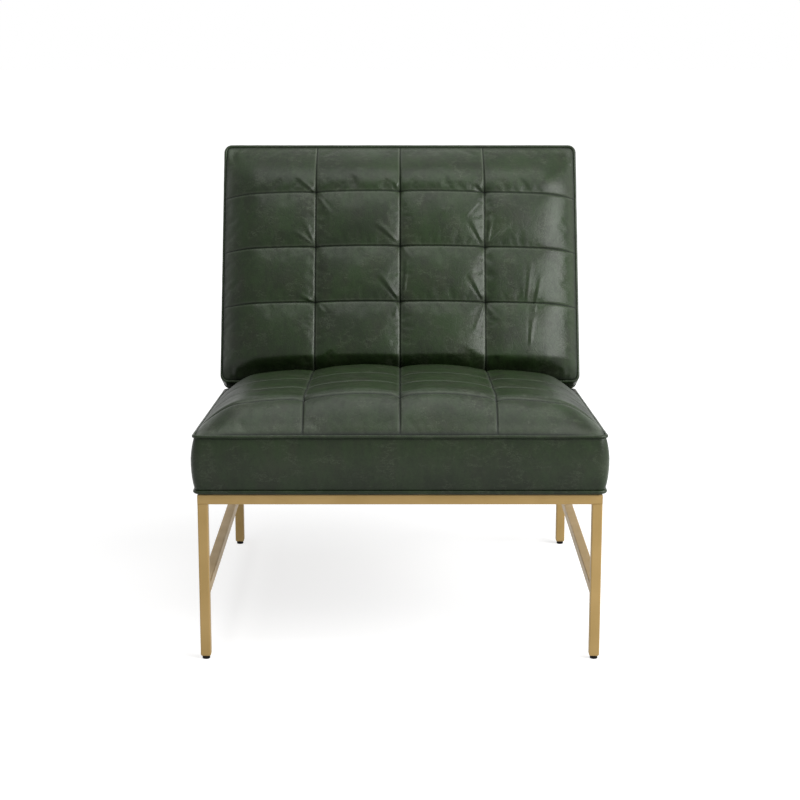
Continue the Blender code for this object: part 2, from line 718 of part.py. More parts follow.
def build_seat_boards(seat):
    """Hardwood frame, webbing and dust cover. The front and rear boards fit between the side boards."""
    reach = SEAT_HALF - COVER_WALL - GAP
    front = COVER_WALL + GAP
    rear = SEAT_DEPTH - COVER_WALL - GAP
    side_x = reach - SEAT_BOARD_WIDTH / 2
    middle = (front + rear) / 2
    rise = SEAT_BOARD / 2
    boards = {}
    for side, sign in (("left", -1), ("right", 1)):
        size = (SEAT_BOARD_WIDTH, rear - front, SEAT_BOARD)
        boards[side] = box(f"seat_board_{side}", size, WOOD, seat, (sign * side_x, middle, rise))
    size = (2 * (reach - SEAT_BOARD_WIDTH - GAP), SEAT_BOARD_WIDTH, SEAT_BOARD)
    for end, y in (("front", front + SEAT_BOARD_WIDTH / 2), ("rear", rear - SEAT_BOARD_WIDTH / 2)):
        boards[end] = box(f"seat_board_{end}", size, WOOD, seat, (0, y, rise))
    web = (reach - WEB_MARGIN, front + WEB_MARGIN, rear - WEB_MARGIN)
    lattice("seat_webbing", *web, WEBBING, seat, SEAT_BOARD + GAP)

    half_x = FRAME_WIDTH / 2 - TUBE - DUST_COVER_SIDE_MARGIN
    low_y = TUBE + DUST_COVER_MARGIN - SEAT_FRONT_Y
    high_y = SUPPORT_RAIL_DEPTH - DUST_COVER_MARGIN - SEAT_FRONT_Y
    size = (2 * half_x, high_y - low_y, DUST_COVER)
    box("seat_dust_cover", size, BLACK_CLOTH, seat, (0, (low_y + high_y) / 2, -GAP - DUST_COVER / 2))
    return boards


def build_tabs(seat, boards):
    """Tabs welded inside the side rails, each with a screw up into a side board."""
    inner = FRAME_WIDTH / 2 - TUBE - GAP
    top = RAIL_TOP - SEAT_FLOOR
    rear_start = SUPPORT_RAIL_DEPTH - TAB_FROM_RAIL
    for end, start in (("front", TAB_FROM_RAIL), ("rear", rear_start)):
        for side, sign in (("left", -1), ("right", 1)):
            x = sign * (inner - TAB_REACH / 2)
            y = start + TAB_LENGTH / 2
            name = f"seat_tab_{end}_{side}"
            size = (TAB_REACH, TAB_LENGTH, TAB_THICKNESS)
            tab = box(name, size, METAL, seat, (x, y, top - TAB_THICKNESS / 2))
            grip = TAB_THICKNESS + GAP
            fasten(f"{name}_screw", seat, (x, y, top - TAB_THICKNESS), (0, 0, 0), grip, [tab, boards[side]])


def build_back_cushion(back):
    """Leather cover, foam and rear panel. The cover is open behind, where the panel closes it."""
    low = subdivided([CUSHION_CORNER, BACK_LOW_ROW], SEAM_STEPS)
    quilted = subdivided(BACK_SEAMS[1:-1], SEAM_STEPS)[1:]
    high = subdivided([BACK_SEAMS[-2], BACK_LENGTH - CUSHION_CORNER], SEAM_STEPS)[1:]
    vs = [0.0] + low + quilted + high + [BACK_LENGTH]
    rings = boxing_rings(lambda v: 0.0, lambda v: -BACK_BOXING)
    skin = cover("back_cover", across_lines(BACK_HALF), vs, back_surface, rings, back)

    def foam_top(x, v):
        return back_crown(x, v) - CORE_DEPTH

    xs = core_lines(half_columns(BACK_HALF), COVER_WALL)
    low = [BACK_LOW_RUN / 2, BACK_LOW_RUN]
    vs = [0.0] + low + BACK_SEAMS[1:-1] + [BACK_LENGTH - BACK_TOP_RUN / 2, BACK_LENGTH]
    vs = core_lines(vs, COVER_WALL)
    hollow(skin, "back_hollow", xs, vs, foam_top, -BACK_BOXING - CUT_OVERRUN)
    foam_floor = -BACK_BOXING + BACK_BOARD + 2 * GAP + WEB_THICKNESS
    core("back_foam", xs, vs, foam_top, foam_floor, back)
    half_x = BACK_HALF - EDGE_INSET
    half_v = BACK_LENGTH / 2 - EDGE_INSET
    place = (0, BACK_LENGTH / 2, -BACK_PANEL_FACE)
    return plate(
        "back_rear_panel", half_x, half_v, BACK_PANEL, CUSHION_CORNER - EDGE_INSET, LEATHER, back, place
    )


def build_back_boards(back):
    """Hardwood frame and webbing: two stiles with three boards between them."""
    reach = BACK_HALF - COVER_WALL - GAP
    low = COVER_WALL + GAP
    high = BACK_LENGTH - COVER_WALL - GAP
    z = -BACK_BOXING + BACK_BOARD / 2
    for side, sign in (("left", -1), ("right", 1)):
        x = sign * (reach - BACK_BOARD_WIDTH / 2)
        size = (BACK_BOARD_WIDTH, high - low, BACK_BOARD)
        box(f"back_board_{side}", size, WOOD, back, (x, (low + high) / 2, z))
    width = 2 * (reach - BACK_BOARD_WIDTH - GAP)
    boards = {}
    spans = (
        ("low", low, BACK_LOW_BOARD_HEIGHT),
        ("middle", CROSSBAR_V - BACK_BOARD_WIDTH / 2, BACK_BOARD_WIDTH),
        ("top", high - BACK_BOARD_WIDTH, BACK_BOARD_WIDTH),
    )
    for name, start, height in spans:
        place = (0, start + height / 2, z)
        boards[name] = box(f"back_board_{name}", (width, height, BACK_BOARD), WOOD, back, place)
    web = (reach - WEB_MARGIN, low + WEB_MARGIN, high - WEB_MARGIN)
    lattice("back_webbing", *web, WEBBING, back, -BACK_BOXING + BACK_BOARD + GAP)
    return boards


def build_crossbar(back, boards, panel):
    """Tilted tube that lies on the posts' sloping ends, bolted through the rear panel."""
    length = FRAME_WIDTH - 2 * (CROSSBAR_CAP + GAP)
    rise = -BACK_REST - TUBE / 2
    bar = tube("back_crossbar", length, back, (-length / 2, CROSSBAR_V, rise), (0, math.pi / 2, 0))
    for side, sign in (("left", -1), ("right", 1)):
        start = sign * FRAME_WIDTH / 2 - (CROSSBAR_CAP if sign > 0 else 0)
        place = (start, CROSSBAR_V, rise)
        turn = (0, math.pi / 2, 0)
        half = TUBE / 2
        plate(f"crossbar_cap_{side}", half, half, CROSSBAR_CAP, TUBE_ROUND, METAL, back, place, turn)
        bolt_x = sign * (FRAME_WIDTH / 2 - CROSSBAR_BOLT_FROM_SIDE)
        bolt = (bolt_x, CROSSBAR_V, -BACK_REST - TUBE)
        grip = TUBE + 2 * GAP + BACK_PANEL
        fasten(f"crossbar_bolt_{side}", back, bolt, (0, 0, 0), grip, [bar, panel, boards["middle"]])


def build_brackets(root, back, skin, seat_board, back_board, panel):
    """Bent steel straps from the seat's rear edge up to the back's rear panel."""
    bulge = max(PIPING_RADIUS, FULLNESS_SHARE * (SEAT_REAR_HEIGHT - SEAT_LOW_PIPING))
    front = SEAT_REAR_Y + bulge + GAP
    bend_v = (front - back_point(0, -BACK_REST)[0]) / math.sin(BACK_RECLINE)
    bend = back_point(bend_v, -BACK_REST)
    end = back_point(bend_v + BRACKET_UPPER_LENGTH, -BACK_REST)
    outward = (math.cos(BACK_RECLINE) * BRACKET_THICKNESS, -math.sin(BACK_RECLINE) * BRACKET_THICKNESS)
    rear_bend = bend[1] - math.tan(BACK_RECLINE / 2) * BRACKET_THICKNESS
    outline = [
        (front, SEAT_FLOOR),
        (front + BRACKET_THICKNESS, SEAT_FLOOR),
        (front + BRACKET_THICKNESS, rear_bend),
        (end[0] + outward[0], end[1] + outward[1]),
        end,
        bend,
    ]
    for side, sign in (("left", -1), ("right", 1)):
        x = sign * (FRAME_WIDTH / 2 - BRACKET_FROM_SIDE)
        bm = bmesh.new()
        edges = (x - BRACKET_WIDTH / 2, x + BRACKET_WIDTH / 2)
        skin_rings(bm, [[(edge, y, z) for y, z in outline] for edge in edges], True, True)
        strap = mesh_object(f"back_bracket_{side}", bm, STEEL, root)
        place = (x, front + BRACKET_THICKNESS, SEAT_FLOOR + BRACKET_SCREW_HEIGHT)
        grip = BRACKET_THICKNESS + bulge + COVER_WALL + 2 * GAP
        name = f"back_bracket_{side}_low_screw"
        fasten(name, root, place, (math.pi / 2, 0, 0), grip, [strap, skin, seat_board])
        place = (x, bend_v + BRACKET_UPPER_LENGTH / 2, -BACK_REST - BRACKET_THICKNESS)
        grip = BRACKET_THICKNESS + 2 * GAP + BACK_PANEL
        fasten(f"back_bracket_{side}_high_screw", back, place, (0, 0, 0), grip, [strap, panel, back_board])


def build_piping(seat, back):
    """Round leather piping along the seams of both cushions."""
    piping("seat_top_piping", SEAT_HALF, SEAT_DEPTH, seat, seat_seam_height)
    piping("seat_low_piping", SEAT_HALF, SEAT_DEPTH, seat, lambda v: SEAT_LOW_PIPING)
    piping("back_front_piping", BACK_HALF, BACK_LENGTH, back, lambda v: 0.0)
    piping("back_rear_piping", BACK_HALF, BACK_LENGTH, back, lambda v: -BACK_BOXING)


def stand_on_middle(root):
    """Move the whole chair along Y, so that the origin is under the middle of its box."""
    bpy.context.view_layer.update()
    graph = bpy.context.evaluated_depsgraph_get()
    places = []
    for obj in bpy.context.scene.objects:
        if obj.type in ("MESH", "CURVE") and not obj.hide_render:
            shape = obj.evaluated_get(graph)
            mesh = shape.to_mesh()
            places += [(shape.matrix_world @ vert.co).y for vert in mesh.vertices]
            shape.to_mesh_clear()
    root.location.y = -(min(places) + max(places)) / 2


clear_scene()
chair = empty("chair")
build_frame(chair)
build_feet(chair)
seat_place = empty("seat_place", (0, SEAT_FRONT_Y, SEAT_FLOOR), parent=chair)
back_place = empty("back_place", (0, *BACK_FOOT), (math.pi / 2 - BACK_RECLINE, 0, 0), chair)
seat_skin = build_seat_cushion(seat_place)
seat_boards = build_seat_boards(seat_place)
build_tabs(seat_place, seat_boards)
rear_panel = build_back_cushion(back_place)
back_boards = build_back_boards(back_place)
build_crossbar(back_place, back_boards, rear_panel)
build_brackets(chair, back_place, seat_skin, seat_boards["rear"], back_boards["low"], rear_panel)
build_piping(seat_place, back_place)
stand_on_middle(chair)
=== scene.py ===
"""Looks of the tufted leather lounge chair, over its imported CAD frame. Metres, +Z up, facing -Y."""

import bisect
import json
import math
from types import SimpleNamespace

import bmesh
import bpy
from mathutils import Euler, Matrix, Vector, noise


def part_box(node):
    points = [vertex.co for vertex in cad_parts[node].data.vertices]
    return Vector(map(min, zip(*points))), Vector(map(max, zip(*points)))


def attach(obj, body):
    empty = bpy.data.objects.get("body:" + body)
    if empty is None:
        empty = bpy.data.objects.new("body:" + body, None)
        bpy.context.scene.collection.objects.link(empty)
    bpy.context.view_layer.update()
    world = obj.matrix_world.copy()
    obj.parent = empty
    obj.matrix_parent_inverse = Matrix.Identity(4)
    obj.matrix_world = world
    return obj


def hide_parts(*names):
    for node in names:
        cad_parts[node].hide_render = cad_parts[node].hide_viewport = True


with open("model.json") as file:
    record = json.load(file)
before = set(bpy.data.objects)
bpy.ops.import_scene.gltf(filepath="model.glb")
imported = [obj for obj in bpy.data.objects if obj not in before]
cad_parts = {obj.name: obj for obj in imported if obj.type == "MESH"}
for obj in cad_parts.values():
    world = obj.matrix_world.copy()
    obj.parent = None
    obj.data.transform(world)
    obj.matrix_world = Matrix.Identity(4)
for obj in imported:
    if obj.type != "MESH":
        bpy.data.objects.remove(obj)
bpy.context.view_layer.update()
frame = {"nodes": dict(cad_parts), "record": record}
scene = bpy.context.scene

# Places and sizes that repeat the CAD source
GAP = 0.0003
ORIGIN_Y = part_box("front_left_leg")[0][1]
PIPING_RADIUS = 0.0035
SEAT_FLOOR = 0.3169 + GAP
SEAT_FRONT_Y = -0.008
SEAT_HALF = 0.375
SEAT_DEPTH = 0.6530128
SEAT_FRONT_HEIGHT = 0.1094
SEAT_REAR_HEIGHT = 0.0628
SEAT_LOW_PIPING = 0.0058
SEAT_CROWN = 0.070
SEAT_PILLOW = 0.009
SEAT_FIRST_SEAM = 0.068
SEAT_SEAM_PITCH = 0.12925
SEAT_SEAMS = [0.0] + [SEAT_FIRST_SEAM + SEAT_SEAM_PITCH * k for k in range(5)] + [SEAT_DEPTH]
BACK_HALF = 0.374
BACK_LENGTH = 0.514
BACK_BOXING = 0.065
RECLINE = math.radians(22.5)
BACK_SETBACK = 0.5590128
BACK_LIFT = 0.0304
BACK_CROWN = 0.070
BACK_PILLOW = 0.014
BACK_SEAMS = [0.0, 0.154, 0.274, 0.394, BACK_LENGTH]
COLUMN_PITCH = 0.178
CORNER = 0.013
FULLNESS = 0.061
DOME = 0.45
TUBE = 0.01905

# Soft shapes that only the scene has. A side is a run and a power; ends are the first and last run.
BACK_SIDE = (0.075, 0.5)
BACK_ENDS = (0.044, 0.115)
SEAT_SIDE = (0.080, 0.75)
SEAT_ENDS = (0.088, 0.214)
BACK_PILLOW_SHARE = 0.6
BACK_LENGTHWAYS = 0.6
BACK_PILLOW_POWER = 0.42
SEAT_LENGTHWAYS = 0.25
SEAT_PILLOW_POWER = 0.6
LENGTHWAYS_POWER = 0.70
BULGE_SHARE = 1.2
BULGE_POWER = 0.72
BULGE_RING = 0.3
CORNER_BULGE_LOSS = 0.08
CORNER_REACH = 0.035
BAND_SHARES = (0.0, 0.02, 0.05, 0.1, 0.18, 0.28, 0.4, 0.52, 0.64, 0.75, 0.84, 0.91, 0.955, 0.985, 1.0)
FACE_INSET = 0.0022
BAND_INSET = 0.0020
BORDER_DROP = 0.0006
PRESS_GAP = 0.0022
BACK_ALLOWANCE = 0.0012
PRESS_STEPS = 120
PRESS_CELLS = 60
OUT_OF_REACH = 9.0
BAND_WAVE = 0.0011
BAND_RIPPLE = 0.0005
SEAM_DEPTH = 0.0015
SEAM_WIDTH = 0.0013
TUFT_DEPTH = 0.0034
TUFT_WIDTH = 0.009
EDGE_FADE = 0.016
RIPPLE = 0.0007
RIPPLE_FADE = 0.02
CREASE_LIFT = 1.9
CREASE_GROOVE = 0.45
CREASE_GROOVE_SIDE = 1.35
CREASE_OVERRUN = 0.25
CREASE_TIP = 0.35
CREASE_SPREAD = 1.2
CREASE_REACH = 4
CREASE_LEAD = 0.06
CREASE_RISE = 0.18
CREASE_FADE_POWER = 0.8
FACE_STEP = 0.0029
FACE_NEAR = (0.0006, 0.0014, 0.0024, 0.0038)
CLOTH_STEP = 0.0058
CLOTH_NEAR = (0.0012, 0.0035)
CLOTH_HOLD = 0.0014
CLOTH_FRAMES = 21
CLOTH_CACHE_END = 24
CLOTH_SETTINGS = {
    "quality": 6, "mass": 0.35, "air_damping": 2.0,
    "tension_stiffness": 28, "compression_stiffness": 28, "shear_stiffness": 12, "bending_stiffness": 1.6,
    "tension_damping": 12, "compression_damping": 12, "shear_damping": 12, "bending_damping": 1.0,
}
PIPING_STEP = 0.006
PIPING_SIDES = 12
PIPING_CORNER_STEPS = 6
PIPING_SLACK = 0.00012
PIPING_RIPPLE = 0.00018
PIPING_WANDER = 0.0004
WELD = 0.0016
WELD_PROUD = 0.00004
WELD_CORNER = 0.0021
WELD_SHARP = 50
REAR_PUFF = 0.0022
REAR_PUFF_RUN = 0.16
REAR_PUFF_SHARE = 0.6
REAR_SINK = 0.0008
REAR_INSET = 0.0035
REAR_THICKNESS = 0.0012
SHEET_RIPPLE = 0.0006
SHEET_EDGE = 0.1
DUST_SAG = 0.0045
DUST_SAG_RUN = 0.5
DUST_RIPPLE = 0.0005
DUST_THICKNESS = 0.0005

# Where painted shade darkens the leather and where rubbing and painted highlights make it paler, as shares
# of the colours below and reaches in metres
# Painted shade in the seams, in the tufts and at the face's edge beside the piping
SEAM_SHADE = 0.96
SEAM_SHADE_WIDTH = 0.0006
GROOVE_SHADE_SHARE = 0.35
TUFT_SHADE = 0.4
TUFT_SHADE_WIDTH = 0.005
EDGE_SHADE = 0.6
EDGE_SHADE_START = 0.003
EDGE_SHADE_WIDTH = 0.0016
# Painted shade on the seat's left and right shoulders, behind its first seam
SHOULDER_SHADE = 0.55
SHOULDER_PLACE = 0.035
SHOULDER_WIDTH = 0.045
SHOULDER_START = 0.03
# Painted shade along the band's top and bottom rims, beside the piping
BAND_SHADE = 0.55
BAND_SHADE_WIDTH = 0.0035
BAND_WEAR = 0.10
# Painted highlight on both rims of each seam
RIM_HIGHLIGHT = 0.12
RIM_PLACE = 0.0032
RIM_WIDTH = 0.0018
EDGE_WEAR = 0.12
EDGE_WEAR_PLACE = 0.010
EDGE_WEAR_WIDTH = 0.007
# Painted highlight on the left rim of each column seam
LIT_PLACE = 0.0019
LIT_WIDTH = 0.0009

# Colours, as a darker and a lighter one where there are two
GREEN = ((0.0062, 0.0126, 0.0033), (0.0122, 0.0246, 0.0070))
GREY_GREEN = ((0.0079, 0.0114, 0.0050), (0.0158, 0.0218, 0.0098))
SCRATCH_COLOUR = (0.050, 0.068, 0.040)
# Paler colour for rubbing and for the painted highlights beside the seams
WEAR_AND_HIGHLIGHT_COLOUR = (0.100, 0.115, 0.086)
# Colour of the painted shade in seams, tufts, edges and on the seat's shoulders
PAINTED_SHADE_COLOUR = (0.0040, 0.0065, 0.0036)
LEATHER_SPECULAR = 0.22
BRASS_COLOURS = ((0.350, 0.232, 0.082), (0.392, 0.263, 0.100))
BRASS_METALLIC = 0.55
GLIDE_SPECULAR = 0.12
FLOOR_COLOUR = (0.42, 0.42, 0.42, 1)
WHITE = (1, 1, 1, 1)
WORLD_SEEN = 0.80
WORLD_LIGHT = 0.20


def seat_seam_height(v):
    return SEAT_FRONT_HEIGHT + (SEAT_REAR_HEIGHT - SEAT_FRONT_HEIGHT) * v / SEAT_DEPTH


BACK_FOOT = (SEAT_FRONT_Y + BACK_SETBACK, SEAT_FLOOR + seat_seam_height(BACK_SETBACK) + BACK_LIFT)
SEAT_FRAME = Matrix.Translation((0, ORIGIN_Y + SEAT_FRONT_Y, SEAT_FLOOR))
BACK_FRAME = Matrix.Translation((0, ORIGIN_Y + BACK_FOOT[0], BACK_FOOT[1])) @ Matrix.Rotation(
    math.pi / 2 - RECLINE, 4, "X"
)


# Materials

def nodes_of(name):
    made = bpy.data.materials.new(name)
    made.use_nodes = True
    tree = made.node_tree
    return made, tree, tree.nodes["Principled BSDF"]


def add(tree, kind, **values):
    node = tree.nodes.new(kind)
    for key, value in values.items():
        if key.startswith("in_"):
            node.inputs[key[3:].replace("_", " ")].default_value = value
        else:
            setattr(node, key, value)
    return node


def texture(tree, kind, scale, stretch=(1, 1, 1), **values):
    """A procedural texture on object coordinates, in metres."""
    place = add(tree, "ShaderNodeTexCoord")
    mapping = add(tree, "ShaderNodeMapping")
    mapping.inputs["Scale"].default_value = stretch
    tree.links.new(place.outputs["Object"], mapping.inputs["Vector"])
    node = add(tree, kind, **values)
    node.inputs["Scale"].default_value = scale
    tree.links.new(mapping.outputs["Vector"], node.inputs["Vector"])
    return node


def ramp(tree, source, low, high, first, last):
    """Source remapped from low..high to first..last."""
    node = add(tree, "ShaderNodeMapRange")
    node.inputs["From Min"].default_value = low
    node.inputs["From Max"].default_value = high
    node.inputs["To Min"].default_value = first
    node.inputs["To Max"].default_value = last
    tree.links.new(source, node.inputs["Value"])
    return node.outputs["Result"]


def maths(tree, operation, a, b):
    node = add(tree, "ShaderNodeMath", operation=operation)
    for socket, value in zip(node.inputs, (a, b)):
        if isinstance(value, (int, float)):
            socket.default_value = value
        else:
            tree.links.new(value, socket)
    return node.outputs[0]


def blend(tree, share, a, b):
    node = add(tree, "ShaderNodeMix", data_type="RGBA", blend_type="MIX")
    sockets = [s for s in node.inputs if s.type == "RGBA"]
    for socket, value in zip(sockets, (a, b)):
        if isinstance(value, tuple):
            socket.default_value = (*value, 1)
        else:
            tree.links.new(value, socket)
    tree.links.new(share, node.inputs[0])
    return [s for s in node.outputs if s.type == "RGBA"][0]


def bump(tree, height, strength, distance, normal=None):
    node = add(tree, "ShaderNodeBump", in_Strength=strength, in_Distance=distance)
    tree.links.new(height, node.inputs["Height"])
    if normal:
        tree.links.new(normal, node.inputs["Normal"])
    return node.outputs["Normal"]


def leather(name, seamed):
    """Waxed green leather: greener and greyer patches, pores and fine scratches."""
    made, tree, shader = nodes_of(name)
    cloud = texture(tree, "ShaderNodeTexNoise", 13.0, in_Detail=7.0, in_Roughness=0.62).outputs["Fac"]
    patch = texture(
        tree, "ShaderNodeTexNoise", 19.0, (1.5, 1, 0.8), in_Detail=5.0, in_Roughness=0.6
    ).outputs["Fac"]
    speck = texture(tree, "ShaderNodeTexNoise", 260.0, in_Detail=3.0, in_Roughness=0.6).outputs["Fac"]
    mottle = texture(
        tree, "ShaderNodeTexNoise", 70.0, (1.6, 1, 0.8), in_Detail=4.0, in_Roughness=0.65
    ).outputs["Fac"]
    tone = maths(tree, "ADD", cloud, ramp(tree, speck, 0.3, 0.7, -0.08, 0.08))
    tone = maths(tree, "ADD", tone, ramp(tree, mottle, 0.3, 0.7, -0.10, 0.10))
    tone = ramp(tree, tone, 0.36, 0.64, 0.0, 1.0)
    green = blend(tree, tone, *GREEN)
    grey = blend(tree, tone, *GREY_GREEN)
    colour = blend(tree, ramp(tree, patch, 0.44, 0.66, 0.0, 0.85), green, grey)
    scratch = texture(
        tree, "ShaderNodeTexNoise", 7.0, (1, 1.4, 2.2), in_Detail=9.0, in_Roughness=0.75
    ).outputs["Fac"]
    scratch = maths(tree, "ABSOLUTE", maths(tree, "SUBTRACT", scratch, 0.5), 0.0)
    line = ramp(tree, scratch, 0.0, 0.010, 1.0, 0.0)
    scratch = maths(tree, "MULTIPLY", line, ramp(tree, patch, 0.42, 0.6, 0.0, 0.7))
    colour = blend(tree, scratch, colour, SCRATCH_COLOUR)
    rough = ramp(tree, tone, 0.0, 1.0, 0.40, 0.34)
    if seamed:
        # Paled for rubbing and for painted highlights, then darkened by painted shade in seams, tufts,
        # edges and on the seat's shoulders
        worn_and_lit = add(tree, "ShaderNodeAttribute", attribute_name="wear_and_highlight").outputs["Fac"]
        dark = add(tree, "ShaderNodeAttribute", attribute_name="shade").outputs["Fac"]
        colour = blend(tree, worn_and_lit, colour, WEAR_AND_HIGHLIGHT_COLOUR)
        colour = blend(tree, dark, colour, PAINTED_SHADE_COLOUR)
        rough = maths(tree, "ADD", rough, ramp(tree, dark, 0.0, 1.0, 0.0, 0.25))
    tree.links.new(colour, shader.inputs["Base Color"])
    tree.links.new(rough, shader.inputs["Roughness"])
    shader.inputs["Specular IOR Level"].default_value = LEATHER_SPECULAR
    pebble = texture(tree, "ShaderNodeTexVoronoi", 780.0, feature="SMOOTH_F1").outputs["Distance"]
    pore = texture(tree, "ShaderNodeTexNoise", 1500.0, in_Detail=2.0).outputs["Fac"]
    vein = texture(
        tree, "ShaderNodeTexVoronoi", 95.0, (1, 1, 0.6), feature="DISTANCE_TO_EDGE"
    ).outputs["Distance"]
    vein = ramp(tree, vein, 0.0, 0.09, 0.0, 1.0)
    soft = texture(tree, "ShaderNodeTexNoise", 26.0, (1.6, 1, 0.7), in_Detail=4.0).outputs["Fac"]
    grain = maths(tree, "ADD", maths(tree, "MULTIPLY", pebble, 0.7), maths(tree, "MULTIPLY", pore, 0.3))
    normal = bump(tree, soft, 0.35, 0.0012)
    normal = bump(tree, vein, 0.16, 0.00045, normal)
    normal = bump(tree, grain, 0.30, 0.00030, normal)
    tree.links.new(normal, shader.inputs["Normal"])
    return made


def lacquer(name):
    """Satin brass-coloured lacquer on steel tube."""
    made, tree, shader = nodes_of(name)
    cloud = texture(tree, "ShaderNodeTexNoise", 14.0, in_Detail=4.0).outputs["Fac"]
    speck = texture(tree, "ShaderNodeTexNoise", 900.0, in_Detail=2.0).outputs["Fac"]
    colour = blend(tree, ramp(tree, cloud, 0.3, 0.7, 0, 1), *BRASS_COLOURS)
    tree.links.new(colour, shader.inputs["Base Color"])
    tree.links.new(ramp(tree, cloud, 0.3, 0.7, 0.46, 0.38), shader.inputs["Roughness"])
    shader.inputs["Metallic"].default_value = BRASS_METALLIC
    tree.links.new(bump(tree, speck, 0.12, 0.0001), shader.inputs["Normal"])
    return made


def plain(name, dark, light, rough, metallic=0.0, scale=40.0, grain=600.0, depth=0.0002):
    """One material between two near colours, with a fine grain."""
    made, tree, shader = nodes_of(name)
    cloud = texture(tree, "ShaderNodeTexNoise", scale, in_Detail=4.0).outputs["Fac"]
    speck = texture(tree, "ShaderNodeTexNoise", grain, in_Detail=3.0).outputs["Fac"]
    tree.links.new(blend(tree, ramp(tree, cloud, 0.3, 0.7, 0, 1), dark, light), shader.inputs["Base Color"])
    tree.links.new(ramp(tree, cloud, 0.3, 0.7, rough + 0.05, rough - 0.05), shader.inputs["Roughness"])
    shader.inputs["Metallic"].default_value = metallic
    tree.links.new(bump(tree, speck, 0.25, depth), shader.inputs["Normal"])
    return made


def timber(name):
    """Planed hardwood with its figure lengthways."""
    made, tree, shader = nodes_of(name)
    figure = texture(tree, "ShaderNodeTexNoise", 18.0, (0.4, 6.0, 9.0), in_Detail=6.0).outputs["Fac"]
    pore = texture(tree, "ShaderNodeTexNoise", 160.0, (0.15, 2.5, 3.0), in_Detail=3.0).outputs["Fac"]
    tone = maths(tree, "ADD", maths(tree, "MULTIPLY", figure, 0.7), maths(tree, "MULTIPLY", pore, 0.3))
    colour = blend(tree, ramp(tree, tone, 0.35, 0.65, 0, 1), (0.36, 0.20, 0.095), (0.56, 0.37, 0.20))
    tree.links.new(colour, shader.inputs["Base Color"])
    shader.inputs["Roughness"].default_value = 0.62
    tree.links.new(bump(tree, pore, 0.3, 0.0003), shader.inputs["Normal"])
    return made


LEATHER = leather("green_leather", True)
PIPING = leather("green_leather_piping", False)
BRASS = lacquer("brass_lacquer")
STEEL = plain("zinc_plate", (0.36, 0.37, 0.38), (0.50, 0.50, 0.51), 0.34, 1.0)
BLACK = plain("black_glide", (0.002, 0.002, 0.002), (0.005, 0.005, 0.005), 0.6)
BLACK.node_tree.nodes["Principled BSDF"].inputs["Specular IOR Level"].default_value = GLIDE_SPECULAR
WOOD = timber("raw_hardwood")
FOAM = plain("foam_core", (0.62, 0.55, 0.38), (0.72, 0.66, 0.50), 0.9, 0.0, 60.0, 900.0, 0.0006)
STRAP = plain("jute_webbing", (0.20, 0.14, 0.08), (0.32, 0.24, 0.15), 0.9, 0.0, 200.0, 900.0, 0.0005)
CLOTH = plain(
    "black_dust_cloth", (0.008, 0.008, 0.009), (0.018, 0.018, 0.019), 0.88, 0.0, 300.0, 1400.0, 0.0004
)

BY_SLOT = {
    "leather": LEATHER, "piping": PIPING, "brass_frame": BRASS, "steel_parts": STEEL, "glide": BLACK,
    "hardwood": WOOD, "foam": FOAM, "webbing": STRAP, "dust_cloth": CLOTH,
}
for part in frame["record"]["subparts"]:
    for holder in frame["nodes"][part["node"]].material_slots:
        holder.material = BY_SLOT[part["material_slot"]]


# Cushion shapes

def clamp(value):
    return min(1.0, max(0.0, value))


def edge_rise(distance, run):
    return math.sin(math.pi / 2 * clamp(distance / run))


def between(position, seams, power):
    for low, high in zip(seams, seams[1:]):
        if low <= position <= high:
            return max(0.0, math.sin(math.pi * (position - low) / (high - low))) ** power
    return 0.0


def columns(half):
    return [-half, -COLUMN_PITCH, 0.0, COLUMN_PITCH, half]


def crown(x, v, half, length, height, side, ends):
    """A cushion's rise. Its side is a run and a power, and its ends are the runs at both."""
    run, power = side
    across = edge_rise(half - abs(x), run) ** power
    along = edge_rise(v, ends[0]) * edge_rise(length - v, ends[1])
    return height * across * along * (1 - DOME * (x / half) ** 2)


def back_crown(x, v):
    return crown(x, v, BACK_HALF, BACK_LENGTH, BACK_CROWN, BACK_SIDE, BACK_ENDS)


def seat_crown(x, v):
    return crown(x, v, SEAT_HALF, SEAT_DEPTH, SEAT_CROWN, SEAT_SIDE, SEAT_ENDS)


def quilting(x, v, half, seams, fullness, lengthways, power):
    """Height of the pillows between the seams."""
    return fullness * (between(x, columns(half), power) + lengthways * between(v, seams, LENGTHWAYS_POWER))


def back_surface(x, v):
    rise = back_crown(x, v)
    fullness = BACK_PILLOW * BACK_PILLOW_SHARE
    pillows = quilting(x, v, BACK_HALF, BACK_SEAMS, fullness, BACK_LENGTHWAYS, BACK_PILLOW_POWER)
    return rise + pillows * rise / BACK_CROWN


def back_point(v, rise):
    y = BACK_FOOT[0] + v * math.sin(RECLINE) - rise * math.cos(RECLINE)
    z = BACK_FOOT[1] + v * math.cos(RECLINE) + rise * math.sin(RECLINE)
    return y, z


def pressed_profile(x):
    """Heights of the back's underside over a line from front to rear, as its start, its step and a list."""
    points = []
    for step in range(PRESS_STEPS + 1):
        v = BACK_SEAMS[1] * step / PRESS_STEPS
        points.append(back_point(v, back_surface(x, v) + BACK_ALLOWANCE))
    start = min(y for y, z in points)
    size = (BACK_FOOT[0] - start) / PRESS_CELLS
    heights = [OUT_OF_REACH] * (PRESS_CELLS + 1)
    for (y0, z0), (y1, z1) in zip(points, points[1:]):
        low, high = min(y0, y1), max(y0, y1)
        first = max(0, math.ceil((low - start) / size))
        last = min(PRESS_CELLS, math.floor((high - start) / size))
        for k in range(first, last + 1):
            share = 0.0 if high == low else (start + k * size - y0) / (y1 - y0)
            heights[k] = min(heights[k], z0 + share * (z1 - z0))
    return start, size, heights


